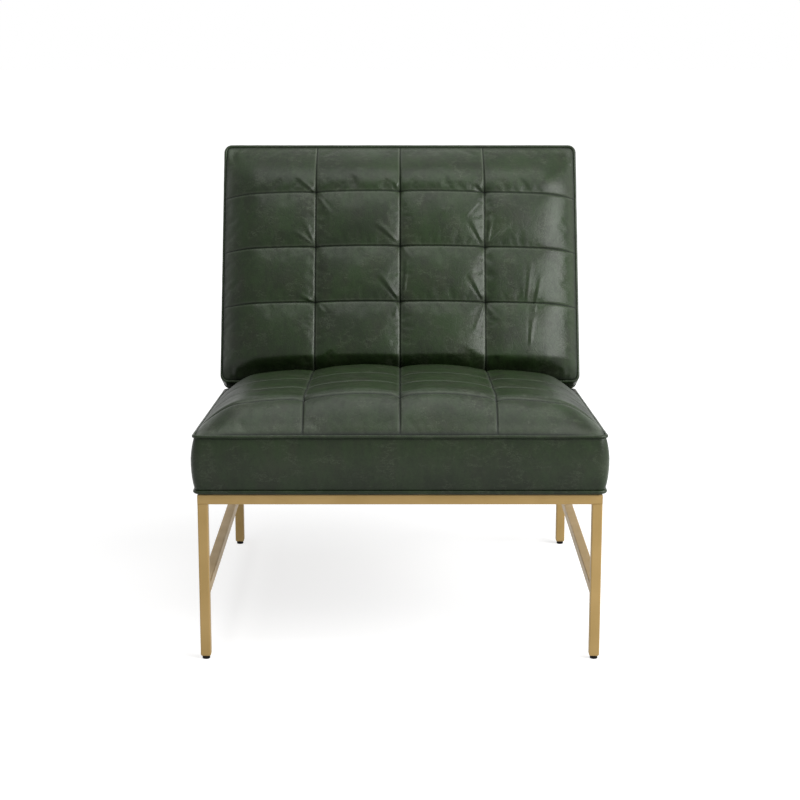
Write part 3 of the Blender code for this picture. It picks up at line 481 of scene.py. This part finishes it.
def pressed_limit(profile, v):
    """The height under the back that the seat's top stays below, or None in front of the back."""
    start, size, heights = profile
    y = SEAT_FRONT_Y + v
    if y < start:
        return None
    behind = y - BACK_FOOT[0]
    if behind >= -PIPING_RADIUS:
        drop = min(behind, BACK_BOXING * math.cos(RECLINE)) * math.tan(RECLINE)
        room = BACK_FOOT[1] - drop - FULLNESS * BACK_BOXING / math.cos(RECLINE)
    else:
        place = (y - start) / size
        k = min(PRESS_CELLS - 1, int(place))
        room = heights[k] + (place - k) * (heights[k + 1] - heights[k])
    return max(room - SEAT_FLOOR - PRESS_GAP, seat_seam_height(v))


def seat_surface(x, v):
    rise = seat_crown(x, v)
    pillows = quilting(x, v, SEAT_HALF, SEAT_SEAMS, SEAT_PILLOW, SEAT_LENGTHWAYS, SEAT_PILLOW_POWER)
    return seat_seam_height(v) + rise + pillows * rise / SEAT_CROWN


def lines_between(seams, step, near):
    """Grid lines: on each seam, close on both sides of it, and about a step apart elsewhere."""
    places = [seams[0]]
    for low, high in zip(seams, seams[1:]):
        start = low + near[-1]
        end = high - near[-1]
        count = max(2, round((end - start) / step))
        places += [low + d for d in near[:-1]]
        places += [start + (end - start) * k / count for k in range(count + 1)]
        places += [high - d for d in reversed(near[:-1])]
        places.append(high)
    return places


def to_rounded(x, v, half, length, radius):
    """Moves a point of the corner squares of a rectangle into its round corners."""
    a = (abs(x) - (half - radius)) / radius
    b = (abs(v - length / 2) - (length / 2 - radius)) / radius
    if a <= 0 or b <= 0:
        return x, v
    new_a = a * math.sqrt(1 - b * b / 2)
    new_b = b * math.sqrt(1 - a * a / 2)
    new_x = math.copysign(half - radius + new_a * radius, x)
    new_v = length / 2 + math.copysign(length / 2 - radius + new_b * radius, v - length / 2)
    return new_x, new_v


def smooth_fall(distance, width):
    return math.exp(-(distance / width) ** 2)


def distance_to(value, seams):
    return min(abs(value - s) for s in seams)


def crease_height(x, v, creases):
    """Height of the listed folds: each is a line, a height and a width, tapering to its far end."""
    total = 0.0
    for x0, v0, x1, v1, height, width in creases:
        along = Vector((x1 - x0, v1 - v0))
        reach = along.length
        share = ((x - x0) * along.x + (v - v0) * along.y) / (reach * reach)
        if not -CREASE_OVERRUN < share < 1 + CREASE_OVERRUN:
            continue
        foot_x = x0 + along.x * clamp(share)
        foot_v = v0 + along.y * clamp(share)
        off = math.hypot(x - foot_x, v - foot_v)
        wide = width * (CREASE_TIP + CREASE_SPREAD * clamp(share))
        if off > CREASE_REACH * wide:
            continue
        side = ((x - x0) * along.y - (v - v0) * along.x) / reach / wide
        fade = clamp((share + CREASE_LEAD) / CREASE_RISE) * max(0.0, 1.0 - share) ** CREASE_FADE_POWER
        ridge = math.exp(-side * side) - CREASE_GROOVE * math.exp(-(side + CREASE_GROOVE_SIDE) ** 2)
        total += CREASE_LIFT * height * fade * ridge * smooth_fall(max(0.0, off - wide), 2 * wide)
    return total


def swell(name, grid, pinned, pressure, excess, cap):
    """Runs cloth on a grid of points, held at the pinned ones. Returns the moved points."""
    rows = len(grid)
    cols = len(grid[0])
    points = [p for row in grid for p in row]
    faces = [
        (j * cols + i, j * cols + i + 1, (j + 1) * cols + i + 1, (j + 1) * cols + i)
        for j in range(rows - 1) for i in range(cols - 1)
    ]
    mesh = bpy.data.meshes.new(name)
    mesh.from_pydata(points, [], faces)
    obj = bpy.data.objects.new(name, mesh)
    scene.collection.objects.link(obj)
    group = obj.vertex_groups.new(name="held")
    group.add([k for k in range(len(points)) if pinned[k]], 1.0, "REPLACE")
    cloth = obj.modifiers.new("cloth", "CLOTH")
    settings = cloth.settings
    for key, value in CLOTH_SETTINGS.items():
        setattr(settings, key, value)
    settings.vertex_group_mass = "held"
    settings.use_pressure = True
    settings.uniform_pressure_force = pressure
    settings.shrink_min = -excess
    settings.shrink_max = -excess
    settings.effector_weights.gravity = 0.0
    cloth.collision_settings.use_collision = False
    cloth.collision_settings.use_self_collision = False
    cloth.point_cache.frame_start = 1
    cloth.point_cache.frame_end = CLOTH_CACHE_END
    for number in range(1, CLOTH_FRAMES + 1):
        scene.frame_set(number)
    shape = obj.evaluated_get(bpy.context.evaluated_depsgraph_get())
    moved = [v.co.copy() for v in shape.data.vertices]
    scene.frame_set(1)
    bpy.data.objects.remove(obj)
    bpy.data.meshes.remove(mesh)
    result = []
    for before, after in zip(points, moved):
        step = after - Vector(before)
        if step.length > cap:
            step *= cap / step.length
        result.append(Vector(before) + step)
    return [result[j * cols:(j + 1) * cols] for j in range(rows)]


def inset_point(x, v, half, length):
    """A grid point moved into the round corners and in from the piping's middle."""
    px, pv = to_rounded(x, v, half, length, CORNER)
    inset_x = px * (half - FACE_INSET) / half
    inset_v = length / 2 + (pv - length / 2) * (length - 2 * FACE_INSET) / length
    return inset_x, inset_v


def swollen(kind):
    """How cloth held at a cushion's seams moves, as a function of x and v."""
    xs = lines_between(columns(kind.half), CLOTH_STEP, CLOTH_NEAR)
    vs = lines_between(kind.seams, CLOTH_STEP, CLOTH_NEAR)
    grid = []
    pinned = []
    for j, v in enumerate(vs):
        row = []
        for i, x in enumerate(xs):
            border = i in (0, len(xs) - 1) or j in (0, len(vs) - 1)
            px, pv = inset_point(x, v, kind.half, kind.length)
            row.append((px, pv, kind.top_at(v) if border else kind.surface(px, pv)))
            seam = min(distance_to(x, columns(kind.half)), distance_to(v, kind.seams))
            pinned.append(border or seam < CLOTH_HOLD)
        grid.append(row)
    moved = swell(kind.name + "_cloth", grid, pinned, *kind.puff)
    steps = [[moved[j][i] - Vector(grid[j][i]) for i in range(len(xs))] for j in range(len(vs))]

    def at(x, v):
        i = min(len(xs) - 2, max(0, bisect.bisect_right(xs, x) - 1))
        j = min(len(vs) - 2, max(0, bisect.bisect_right(vs, v) - 1))
        a = (x - xs[i]) / (xs[i + 1] - xs[i])
        b = (v - vs[j]) / (vs[j + 1] - vs[j])
        low = steps[j][i].lerp(steps[j][i + 1], a)
        high = steps[j + 1][i].lerp(steps[j + 1][i + 1], a)
        return low.lerp(high, b)

    return at


def finished(bm, name, material, placed=None):
    """The built faces as a smooth object of the scene."""
    mesh = bpy.data.meshes.new(name)
    bm.to_mesh(mesh)
    bm.free()
    mesh.shade_smooth()
    obj = bpy.data.objects.new(name, mesh)
    scene.collection.objects.link(obj)
    if placed is not None:
        mesh.transform(placed)
    mesh.materials.append(material)
    return obj


def relief_at(kind, x, v, across, along, tuft):
    """Height of the folds and ripples, less the depth of the seams and tufts."""
    lift = crease_height(x, v, kind.creases)
    lift -= SEAM_DEPTH * smooth_fall(across, SEAM_WIDTH)
    lift -= kind.groove[0] * smooth_fall(along, kind.groove[1])
    lift -= TUFT_DEPTH * smooth_fall(tuft, TUFT_WIDTH)
    wave = noise.noise(Vector((x * 21, v * 15, kind.half * 9)))
    return lift + RIPPLE * wave * min(1, min(across, along) / RIPPLE_FADE)


def painted_shade_at(kind, x, v, seam, tuft, edge):
    """How dark the painted shade makes the leather in the seams, the tufts and at its edge, and on the
    seat's shoulders.
    """
    dark = SEAM_SHADE * smooth_fall(seam, SEAM_SHADE_WIDTH + GROOVE_SHADE_SHARE * kind.groove[1])
    dark += TUFT_SHADE * smooth_fall(tuft, TUFT_SHADE_WIDTH)
    if kind.under_back:
        shoulder = smooth_fall(kind.half - abs(x) - SHOULDER_PLACE, SHOULDER_WIDTH)
        dark += SHOULDER_SHADE * shoulder * clamp((v - kind.seams[1]) / SHOULDER_START)
    return min(1.0, dark + EDGE_SHADE * smooth_fall(max(0.0, edge - EDGE_SHADE_START), EDGE_SHADE_WIDTH))


def wear_and_highlight_at(kind, x, v, seam, edge, column):
    """How far the leather is paled by rubbing near its edge, and by painted highlights beside its seams and
    on the left rim of columns.
    """
    uneven = 0.75 + 0.6 * noise.noise(Vector((v * 23, column * 9, 1)))
    lit = smooth_fall(x - column + LIT_PLACE, LIT_WIDTH) * uneven
    rim = smooth_fall(seam - RIM_PLACE, RIM_WIDTH)
    near_edge = smooth_fall(edge - EDGE_WEAR_PLACE, EDGE_WEAR_WIDTH)
    return clamp(RIM_HIGHLIGHT * rim + kind.groove[2] * lit + EDGE_WEAR * near_edge)


def add_face(kind, bm, xs, vs, step_at, wear_and_highlight, shade):
    """Adds the quilted face, a grid whose lines gather at the seams."""
    inner = columns(kind.half)[1:-1]
    profiles = [pressed_profile(x) for x in xs] if kind.under_back else None
    across_at = [distance_to(x, columns(kind.half)) for x in xs]
    inner_across = [distance_to(x, inner) for x in xs]
    nearest = [min(inner, key=lambda c: abs(x - c)) for x in xs]
    rows = []
    for j, v in enumerate(vs):
        row = []
        along = distance_to(v, kind.seams)
        inner_along = distance_to(v, kind.seams[1:-1])
        for i, x in enumerate(xs):
            border = i in (0, len(xs) - 1) or j in (0, len(vs) - 1)
            px, pv = inset_point(x, v, kind.half, kind.length)
            height = kind.top_at(v) - BORDER_DROP if border else kind.surface(px, pv)
            p = Vector((px, pv, height)) + step_at(x, v)
            seam = min(across_at[i], along)
            tuft = math.hypot(inner_across[i], inner_along)
            edge = min(kind.half - abs(x), v, kind.length - v)
            lift = relief_at(kind, x, v, across_at[i], along, tuft)
            z = p.z + lift * min(1.0, edge / EDGE_FADE)
            top = pressed_limit(profiles[i], p.y) if kind.under_back else None
            if top is not None:
                z = min(z, top)
            vert = bm.verts.new((p.x, p.y, z))
            # Painted shade and painted highlights, kept on each point for the leather's colour
            vert[shade] = painted_shade_at(kind, x, v, seam, tuft, edge)
            vert[wear_and_highlight] = wear_and_highlight_at(kind, x, v, seam, edge, nearest[i])
            row.append(vert)
        rows.append(row)
    for low, high in zip(rows, rows[1:]):
        for i in range(len(xs) - 1):
            bm.faces.new((low[i], low[i + 1], high[i + 1], high[i]))


def outline_of(kind, xs, vs):
    """The face's border, moved into the round corners, with the way out at each point."""
    cols = len(xs) - 1
    rows = len(vs) - 1
    keys = [(i, 0) for i in range(cols)] + [(cols, j) for j in range(rows)]
    keys += [(i, rows) for i in range(cols, 0, -1)] + [(0, j) for j in range(rows, 0, -1)]
    middle = kind.length / 2
    outline = []
    for i, j in keys:
        x, v = to_rounded(xs[i], vs[j], kind.half, kind.length, CORNER)
        ax = abs(x) - (kind.half - CORNER)
        av = abs(v - middle) - (middle - CORNER)
        if ax > 0 and av > 0:
            out = Vector((math.copysign(ax, x), math.copysign(av, v - middle))).normalized()
        elif kind.half - abs(x) < 1e-6:
            out = Vector((math.copysign(1, x), 0))
        else:
            out = Vector((0, math.copysign(1, v - middle)))
        outline.append((x, v, out))
    return outline


def add_side_band(kind, bm, outline, wear_and_highlight, shade):
    """Adds the band round the side, fuller in its middle, and its hem that turns in under the cushion."""
    rings = []
    for share in BAND_SHARES:
        swing = math.sin(math.pi * share)
        profile = swing ** BULGE_POWER / math.sin(math.pi * BULGE_RING)
        ring = []
        for x, v, out in outline:
            height = kind.top_at(v) - kind.low_at(v)
            bulge = BULGE_SHARE * FULLNESS * height * profile
            near_corner = smooth_fall(math.hypot(kind.half - abs(x), min(v, kind.length - v)), CORNER_REACH)
            bulge *= 1 - CORNER_BULGE_LOSS * near_corner
            wave = noise.noise(Vector((x * 13, v * 13, share * 1.3 + kind.half))) * BAND_WAVE
            wave += noise.noise(Vector((x * 34, v * 34, share * 4.0))) * BAND_RIPPLE
            offset = -BAND_INSET + bulge + wave * swing
            vert = bm.verts.new((x + out.x * offset, v + out.y * offset, kind.top_at(v) - share * height))
            vert[wear_and_highlight] = BAND_WEAR * swing
            # Painted shade along the band's top and bottom rims, beside the piping
            vert[shade] = BAND_SHADE * smooth_fall(min(share, 1 - share) * height, BAND_SHADE_WIDTH)
            ring.append(vert)
        rings.append(ring)
    for inset, drop in kind.hem:
        rings.append([
            bm.verts.new((x - out.x * inset, v - out.y * inset, kind.low_at(v) + drop))
            for x, v, out in outline
        ])
    for high, low in zip(rings, rings[1:]):
        for k in range(len(outline)):
            after = (k + 1) % len(outline)
            bm.faces.new((high[k], low[k], low[after], high[after]))


def cushion(kind):
    """A quilted leather face with its side band."""
    xs = lines_between(columns(kind.half), FACE_STEP, FACE_NEAR)
    vs = lines_between(kind.seams, FACE_STEP, FACE_NEAR)
    step_at = swollen(kind)
    bm = bmesh.new()
    # Layers for rubbing with painted highlights, and for painted shade
    wear_and_highlight = bm.verts.layers.float.new("wear_and_highlight")
    shade = bm.verts.layers.float.new("shade")
    add_face(kind, bm, xs, vs, step_at, wear_and_highlight, shade)
    add_side_band(kind, bm, outline_of(kind, xs, vs), wear_and_highlight, shade)
    return finished(bm, kind.name, LEATHER, kind.placed)


def piping(name, kind, height_at, phase):
    """Leather rolled over a cord, a little uneven, along a cushion's rounded edge."""
    middle = kind.length / 2
    path = []
    span_x = kind.half - CORNER
    span_v = middle - CORNER
    for turn, (sx, sv) in enumerate(((1, 1), (-1, 1), (-1, -1), (1, -1))):
        for k in range(PIPING_CORNER_STEPS + 1):
            angle = math.pi / 2 * (turn + k / PIPING_CORNER_STEPS)
            path.append((sx * span_x + CORNER * math.cos(angle), sv * span_v + CORNER * math.sin(angle)))
        run = 2 * (span_x if turn % 2 == 0 else span_v)
        count = round(run / PIPING_STEP)
        start = path[-1]
        ahead = ((-1, 0), (0, -1), (1, 0), (0, 1))[turn]
        for k in range(1, count):
            path.append((start[0] + ahead[0] * run * k / count, start[1] + ahead[1] * run * k / count))
    count = len(path)
    bm = bmesh.new()
    rings = []
    for k, (x, v) in enumerate(path):
        before = Vector(path[k - 1])
        after = Vector(path[(k + 1) % count])
        ahead = (after - before).normalized()
        out = Vector((ahead.y, -ahead.x))
        if out.dot(Vector((x, v))) < 0:
            out = -out
        ripple = noise.noise(Vector((x * 60, v * 60, phase))) * PIPING_RIPPLE
        radius = PIPING_RADIUS - PIPING_SLACK + ripple
        shift = noise.noise(Vector((x * 9, v * 9, phase + 5))) * PIPING_WANDER
        z = height_at(v + middle) + shift
        ring = []
        for s in range(PIPING_SIDES):
            angle = math.tau * s / PIPING_SIDES
            place = Vector((x, v)) + out * radius * math.cos(angle)
            ring.append(bm.verts.new((place.x, place.y + middle, z + radius * math.sin(angle))))
        rings.append(ring)
    for k in range(count):
        after = (k + 1) % count
        for s in range(PIPING_SIDES):
            t = (s + 1) % PIPING_SIDES
            bm.faces.new((rings[k][s], rings[k][t], rings[after][t], rings[after][s]))
    bmesh.ops.recalc_face_normals(bm, faces=bm.faces)
    return finished(bm, name, PIPING, kind.placed)


def rounded_square(half, radius, steps=3):
    """Points round a square with round corners."""
    points = []
    for turn, (sx, sy) in enumerate(((1, 1), (-1, 1), (-1, -1), (1, -1))):
        for k in range(steps + 1):
            angle = math.pi / 2 * (turn + k / steps)
            x = sx * (half - radius) + radius * math.cos(angle)
            points.append((x, sy * (half - radius) + radius * math.sin(angle)))
    return points


def weld_seams(name, joints):
    """Ground welds: a thin square band over the gap of each joint of the tubes."""
    bm = bmesh.new()
    for place, turn in joints:
        rings = []
        for side in (-WELD / 2, WELD / 2):
            square = rounded_square(TUBE / 2 + WELD_PROUD, WELD_CORNER)
            ring = [Vector((x, y, side)) for x, y in square]
            rings.append([bm.verts.new(Vector(place) + turn @ point) for point in ring])
        low, high = rings
        for k in range(len(low)):
            after = (k + 1) % len(low)
            bm.faces.new((low[k], low[after], high[after], high[k]))
        bm.faces.new(low[::-1])
        bm.faces.new(high)
    band = finished(bm, name, BRASS)
    band.data.set_sharp_from_angle(angle=math.radians(WELD_SHARP))
    return band


def tube_joints():
    """The middle of each joint's gap, and the turn that points Z along its tube."""
    upright = Matrix.Identity(3)
    lengthways = Matrix.Rotation(math.pi / 2, 3, "X")
    crossways = Matrix.Rotation(math.pi / 2, 3, "Y")
    joints = []
    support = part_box("seat_support_rail")
    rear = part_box("rear_rail")
    for side, sign in (("left", -1), ("right", 1)):
        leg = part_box(f"front_{side}_leg")
        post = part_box(f"rear_{side}_post")
        x = (leg[0][0] + leg[1][0]) / 2
        y = (leg[0][1] + leg[1][1]) / 2
        joints.append(((x, y, leg[1][2] + GAP / 2), upright))
        for name in (f"{side}_rail", f"{side}_stretcher"):
            low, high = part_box(name)
            z = (low[2] + high[2]) / 2
            joints.append(((x, post[0][1] - GAP / 2, z), lengthways))
            if name.endswith("stretcher"):
                joints.append(((x, leg[1][1] + GAP / 2, z), lengthways))
        for low, high in (support, rear):
            middle = ((low[1] + high[1]) / 2, (low[2] + high[2]) / 2)
            joints.append(((sign * (high[0] + GAP / 2), *middle), crossways))
    return joints


welds = weld_seams("frame_weld_seams", tube_joints())
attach(welds, "chair")

# Folds that the photograph shows, as x0, v0, x1, v1, height, width in the cushion's plane
BACK_CREASES = [
    (-0.0067, 0.3984, -0.0101, 0.4192, 0.0022, 0.0050),
    (0.1746, 0.3962, 0.1601, 0.4181, 0.0026, 0.0055),
    (0.1681, 0.3722, 0.1353, 0.3352, 0.0010, 0.0030),
    (0.1051, 0.3755, 0.0923, 0.3406, 0.0007, 0.0035),
    (0.1838, 0.2821, 0.1927, 0.3471, 0.0024, 0.0042),
    (0.1863, 0.2803, 0.2349, 0.3276, 0.0016, 0.0034),
    (0.1727, 0.2821, 0.1479, 0.3341, 0.0020, 0.0046),
    (-0.0063, 0.2831, -0.0514, 0.3243, 0.0024, 0.0046),
    (-0.0052, 0.1606, -0.0438, 0.2131, 0.0030, 0.0046),
    (0.0067, 0.1659, 0.0159, 0.2411, 0.0026, 0.0036),
    (0.1738, 0.1584, 0.1450, 0.2142, 0.0026, 0.0046),
    (0.1747, 0.1456, 0.1534, 0.0785, 0.0018, 0.0050),
    (-0.0052, 0.1499, -0.0104, 0.1126, 0.0018, 0.0046),
    (0.2704, 0.0637, 0.2808, 0.1488, 0.0014, 0.0046),
    (0.2796, 0.1339, 0.2984, 0.2195, 0.0014, 0.0044),
    (0.2642, 0.1531, 0.2759, 0.2540, 0.0008, 0.0040),
    (-0.1842, 0.2803, -0.2242, 0.3080, 0.0020, 0.0040),
    (-0.1821, 0.2831, -0.2003, 0.3265, 0.0020, 0.0040),
    (-0.1820, 0.3940, -0.2181, 0.4290, 0.0022, 0.0042),
    (-0.1714, 0.3820, -0.1416, 0.3363, 0.0012, 0.0046),
    (-0.1841, 0.1563, -0.2166, 0.1734, 0.0020, 0.0046),
    (-0.1706, 0.1477, -0.1537, 0.1211, 0.0012, 0.0046),
    (0.1820, 0.1467, 0.2035, 0.1126, 0.0010, 0.0050),
    (0.0063, 0.2723, 0.0251, 0.2411, 0.0009, 0.0046),
]

# A puff is the cloth's pressure, its excess and the most it moves. A groove is a cross seam's depth and
# width, and how bright the painted highlight on the left rim of a column seam is. A hem is how far in and
# down each ring is
SEAT = SimpleNamespace(
    name="seat_upholstery", half=SEAT_HALF, length=SEAT_DEPTH, seams=SEAT_SEAMS, surface=seat_surface,
    placed=SEAT_FRAME, top_at=seat_seam_height, low_at=lambda v: SEAT_LOW_PIPING, creases=[],
    puff=(4.0, 0.003, 0.0012), groove=(0.0030, 0.0036, 0.10), under_back=True,
    hem=[(0.0042, -0.0038), (0.0052, -0.0058), (0.012, -0.00595), (0.045, -0.00595)],
)
BACK = SimpleNamespace(
    name="back_upholstery", half=BACK_HALF, length=BACK_LENGTH, seams=BACK_SEAMS, surface=back_surface,
    placed=BACK_FRAME, top_at=lambda v: 0.0, low_at=lambda v: -BACK_BOXING, creases=BACK_CREASES,
    puff=(2.6, 0.005, 0.003), groove=(0.0015, 0.0013, 0.55), under_back=False,
    hem=[(0.0050, -0.0004)],
)

seat_piece = cushion(SEAT)
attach(seat_piece, "chair")
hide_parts("seat_cover", "seat_foam", "seat_webbing")

back_piece = cushion(BACK)
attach(back_piece, "chair")
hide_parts("back_cover", "back_foam", "back_webbing")

for name, kind, height_at, node, phase in (
    ("seat_upper_piping", SEAT, SEAT.top_at, "seat_top_piping", 1.0),
    ("seat_lower_piping", SEAT, SEAT.low_at, "seat_low_piping", 2.0),
    ("back_face_piping", BACK, BACK.top_at, "back_front_piping", 3.0),
    ("back_edge_piping", BACK, BACK.low_at, "back_rear_piping", 4.0),
):
    cord = piping(name, kind, height_at, phase)
    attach(cord, "chair")
    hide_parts(node)


def soft_sheet(name, low_x, high_x, low_y, high_y, height_at, material, placed, thickness, step=0.012):
    """A thin closed sheet over a rectangle whose height follows a function."""
    across = max(2, round((high_x - low_x) / step))
    along = max(2, round((high_y - low_y) / step))
    bm = bmesh.new()
    grids = []
    for side in (0.0, -thickness):
        grids.append([[
            bm.verts.new((
                low_x + (high_x - low_x) * i / across,
                low_y + (high_y - low_y) * j / along,
                height_at(i / across, j / along) + side,
            )) for i in range(across + 1)] for j in range(along + 1)])
    top, under = grids
    for j in range(along):
        for i in range(across):
            bm.faces.new((top[j][i], top[j][i + 1], top[j + 1][i + 1], top[j + 1][i]))
            bm.faces.new((under[j][i], under[j + 1][i], under[j + 1][i + 1], under[j][i + 1]))
    edge = [(0, i) for i in range(across)] + [(j, across) for j in range(along)]
    edge += [(along, i) for i in range(across, 0, -1)] + [(j, 0) for j in range(along, 0, -1)]
    for a, b in zip(edge, edge[1:] + edge[:1]):
        bm.faces.new((top[a[0]][a[1]], under[a[0]][a[1]], under[b[0]][b[1]], top[b[0]][b[1]]))
    bmesh.ops.recalc_face_normals(bm, faces=bm.faces)
    return finished(bm, name, material, placed)


def rear_height(i, j):
    edge = min(i, 1 - i, j, 1 - j)
    puff = REAR_PUFF * edge_rise(edge, REAR_PUFF_RUN)
    wave = SHEET_RIPPLE * noise.noise(Vector((i * 7, j * 5, 2.0)))
    return -BACK_BOXING - REAR_SINK - puff * REAR_PUFF_SHARE + wave * edge_rise(edge, SHEET_EDGE)


rear_piece = soft_sheet(
    "back_rear_leather", -BACK_HALF + REAR_INSET, BACK_HALF - REAR_INSET, REAR_INSET,
    BACK_LENGTH - REAR_INSET, rear_height, LEATHER, BACK_FRAME, REAR_THICKNESS,
)
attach(rear_piece, "chair")
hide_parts("back_rear_panel")

dust_low, dust_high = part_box("seat_dust_cover")


def dust_height(i, j):
    edge = min(i, 1 - i, j, 1 - j)
    wave = DUST_RIPPLE * noise.noise(Vector((i * 9, j * 9, 4.0)))
    return -DUST_SAG * edge_rise(edge, DUST_SAG_RUN) + wave * edge_rise(edge, SHEET_EDGE)


dust_piece = soft_sheet(
    "seat_dust_cloth", dust_low[0], dust_high[0], dust_low[1], dust_high[1], dust_height, CLOTH,
    Matrix.Translation((0, 0, dust_high[2])), DUST_THICKNESS,
)
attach(dust_piece, "chair")
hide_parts("seat_dust_cover")


# Camera, floor, lamps and world

CAMERA_DISTANCE = 3.338
CAMERA_HEIGHT = 1.198
CAMERA_TILT = 78.08
FLOOR_HALF = 30
GLOW_REACH = (0.7, 2.2)
GLOW_STRENGTH = (0.75, 1.0)


def seen_rays(tree):
    """1 for camera, glossy and transmission rays, and 0 for the others."""
    path = add(tree, "ShaderNodeLightPath")
    seen = maths(tree, "MAXIMUM", path.outputs["Is Camera Ray"], path.outputs["Is Glossy Ray"])
    return maths(tree, "MAXIMUM", seen, path.outputs["Is Transmission Ray"])


camera_data = bpy.data.cameras.new("camera")
camera_data.lens = 85.0
camera_data.sensor_width = 36.0
camera = bpy.data.objects.new("camera", camera_data)
scene.collection.objects.link(camera)
camera.location = (0, ORIGIN_Y - CAMERA_DISTANCE, CAMERA_HEIGHT)
camera.rotation_euler = Euler((math.radians(CAMERA_TILT), 0, 0))
scene.camera = camera

floor_mesh = bpy.data.meshes.new("floor")
corners = [(sx * FLOOR_HALF, sy * FLOOR_HALF, 0) for sx, sy in ((-1, -1), (1, -1), (1, 1), (-1, 1))]
floor_mesh.from_pydata(corners, [], [(0, 1, 2, 3)])
floor = bpy.data.objects.new("floor", floor_mesh)
scene.collection.objects.link(floor)
made, tree, shader = nodes_of("pale_floor")
shader.inputs["Base Color"].default_value = FLOOR_COLOUR
shader.inputs["Roughness"].default_value = 0.9
shader.inputs["Specular IOR Level"].default_value = 0.0
shader.inputs["Emission Color"].default_value = WHITE
place = add(tree, "ShaderNodeTexCoord").outputs["Object"]
away = add(tree, "ShaderNodeVectorMath", operation="LENGTH")
tree.links.new(place, away.inputs[0])
glow = ramp(tree, away.outputs["Value"], *GLOW_REACH, *GLOW_STRENGTH)
tree.links.new(maths(tree, "MULTIPLY", seen_rays(tree), glow), shader.inputs["Emission Strength"])
floor_mesh.materials.append(made)

world = bpy.data.worlds.new("studio")
scene.world = world
world.use_nodes = True
tree = world.node_tree
background = tree.nodes["Background"]
background.inputs["Color"].default_value = WHITE
strength = maths(tree, "ADD", maths(tree, "MULTIPLY", seen_rays(tree), WORLD_SEEN), WORLD_LIGHT)
tree.links.new(strength, background.inputs["Strength"])


def lamp(name, location, aim, size, power):
    data = bpy.data.lights.new(name, "AREA")
    data.shape = "RECTANGLE"
    data.size, data.size_y = size
    data.energy = power
    obj = bpy.data.objects.new(name, data)
    scene.collection.objects.link(obj)
    obj.location = location
    obj.rotation_euler = (Vector(aim) - Vector(location)).to_track_quat("-Z", "Y").to_euler()


lamp("top", (0.0, -0.5, 2.75), (0, -0.2, 0.5), (2.4, 1.9), 47)
lamp("key", (2.45, -1.30, 1.9), (0, 0, 0.6), (3.0, 1.5), 150)

scene.view_settings.view_transform = "Standard"
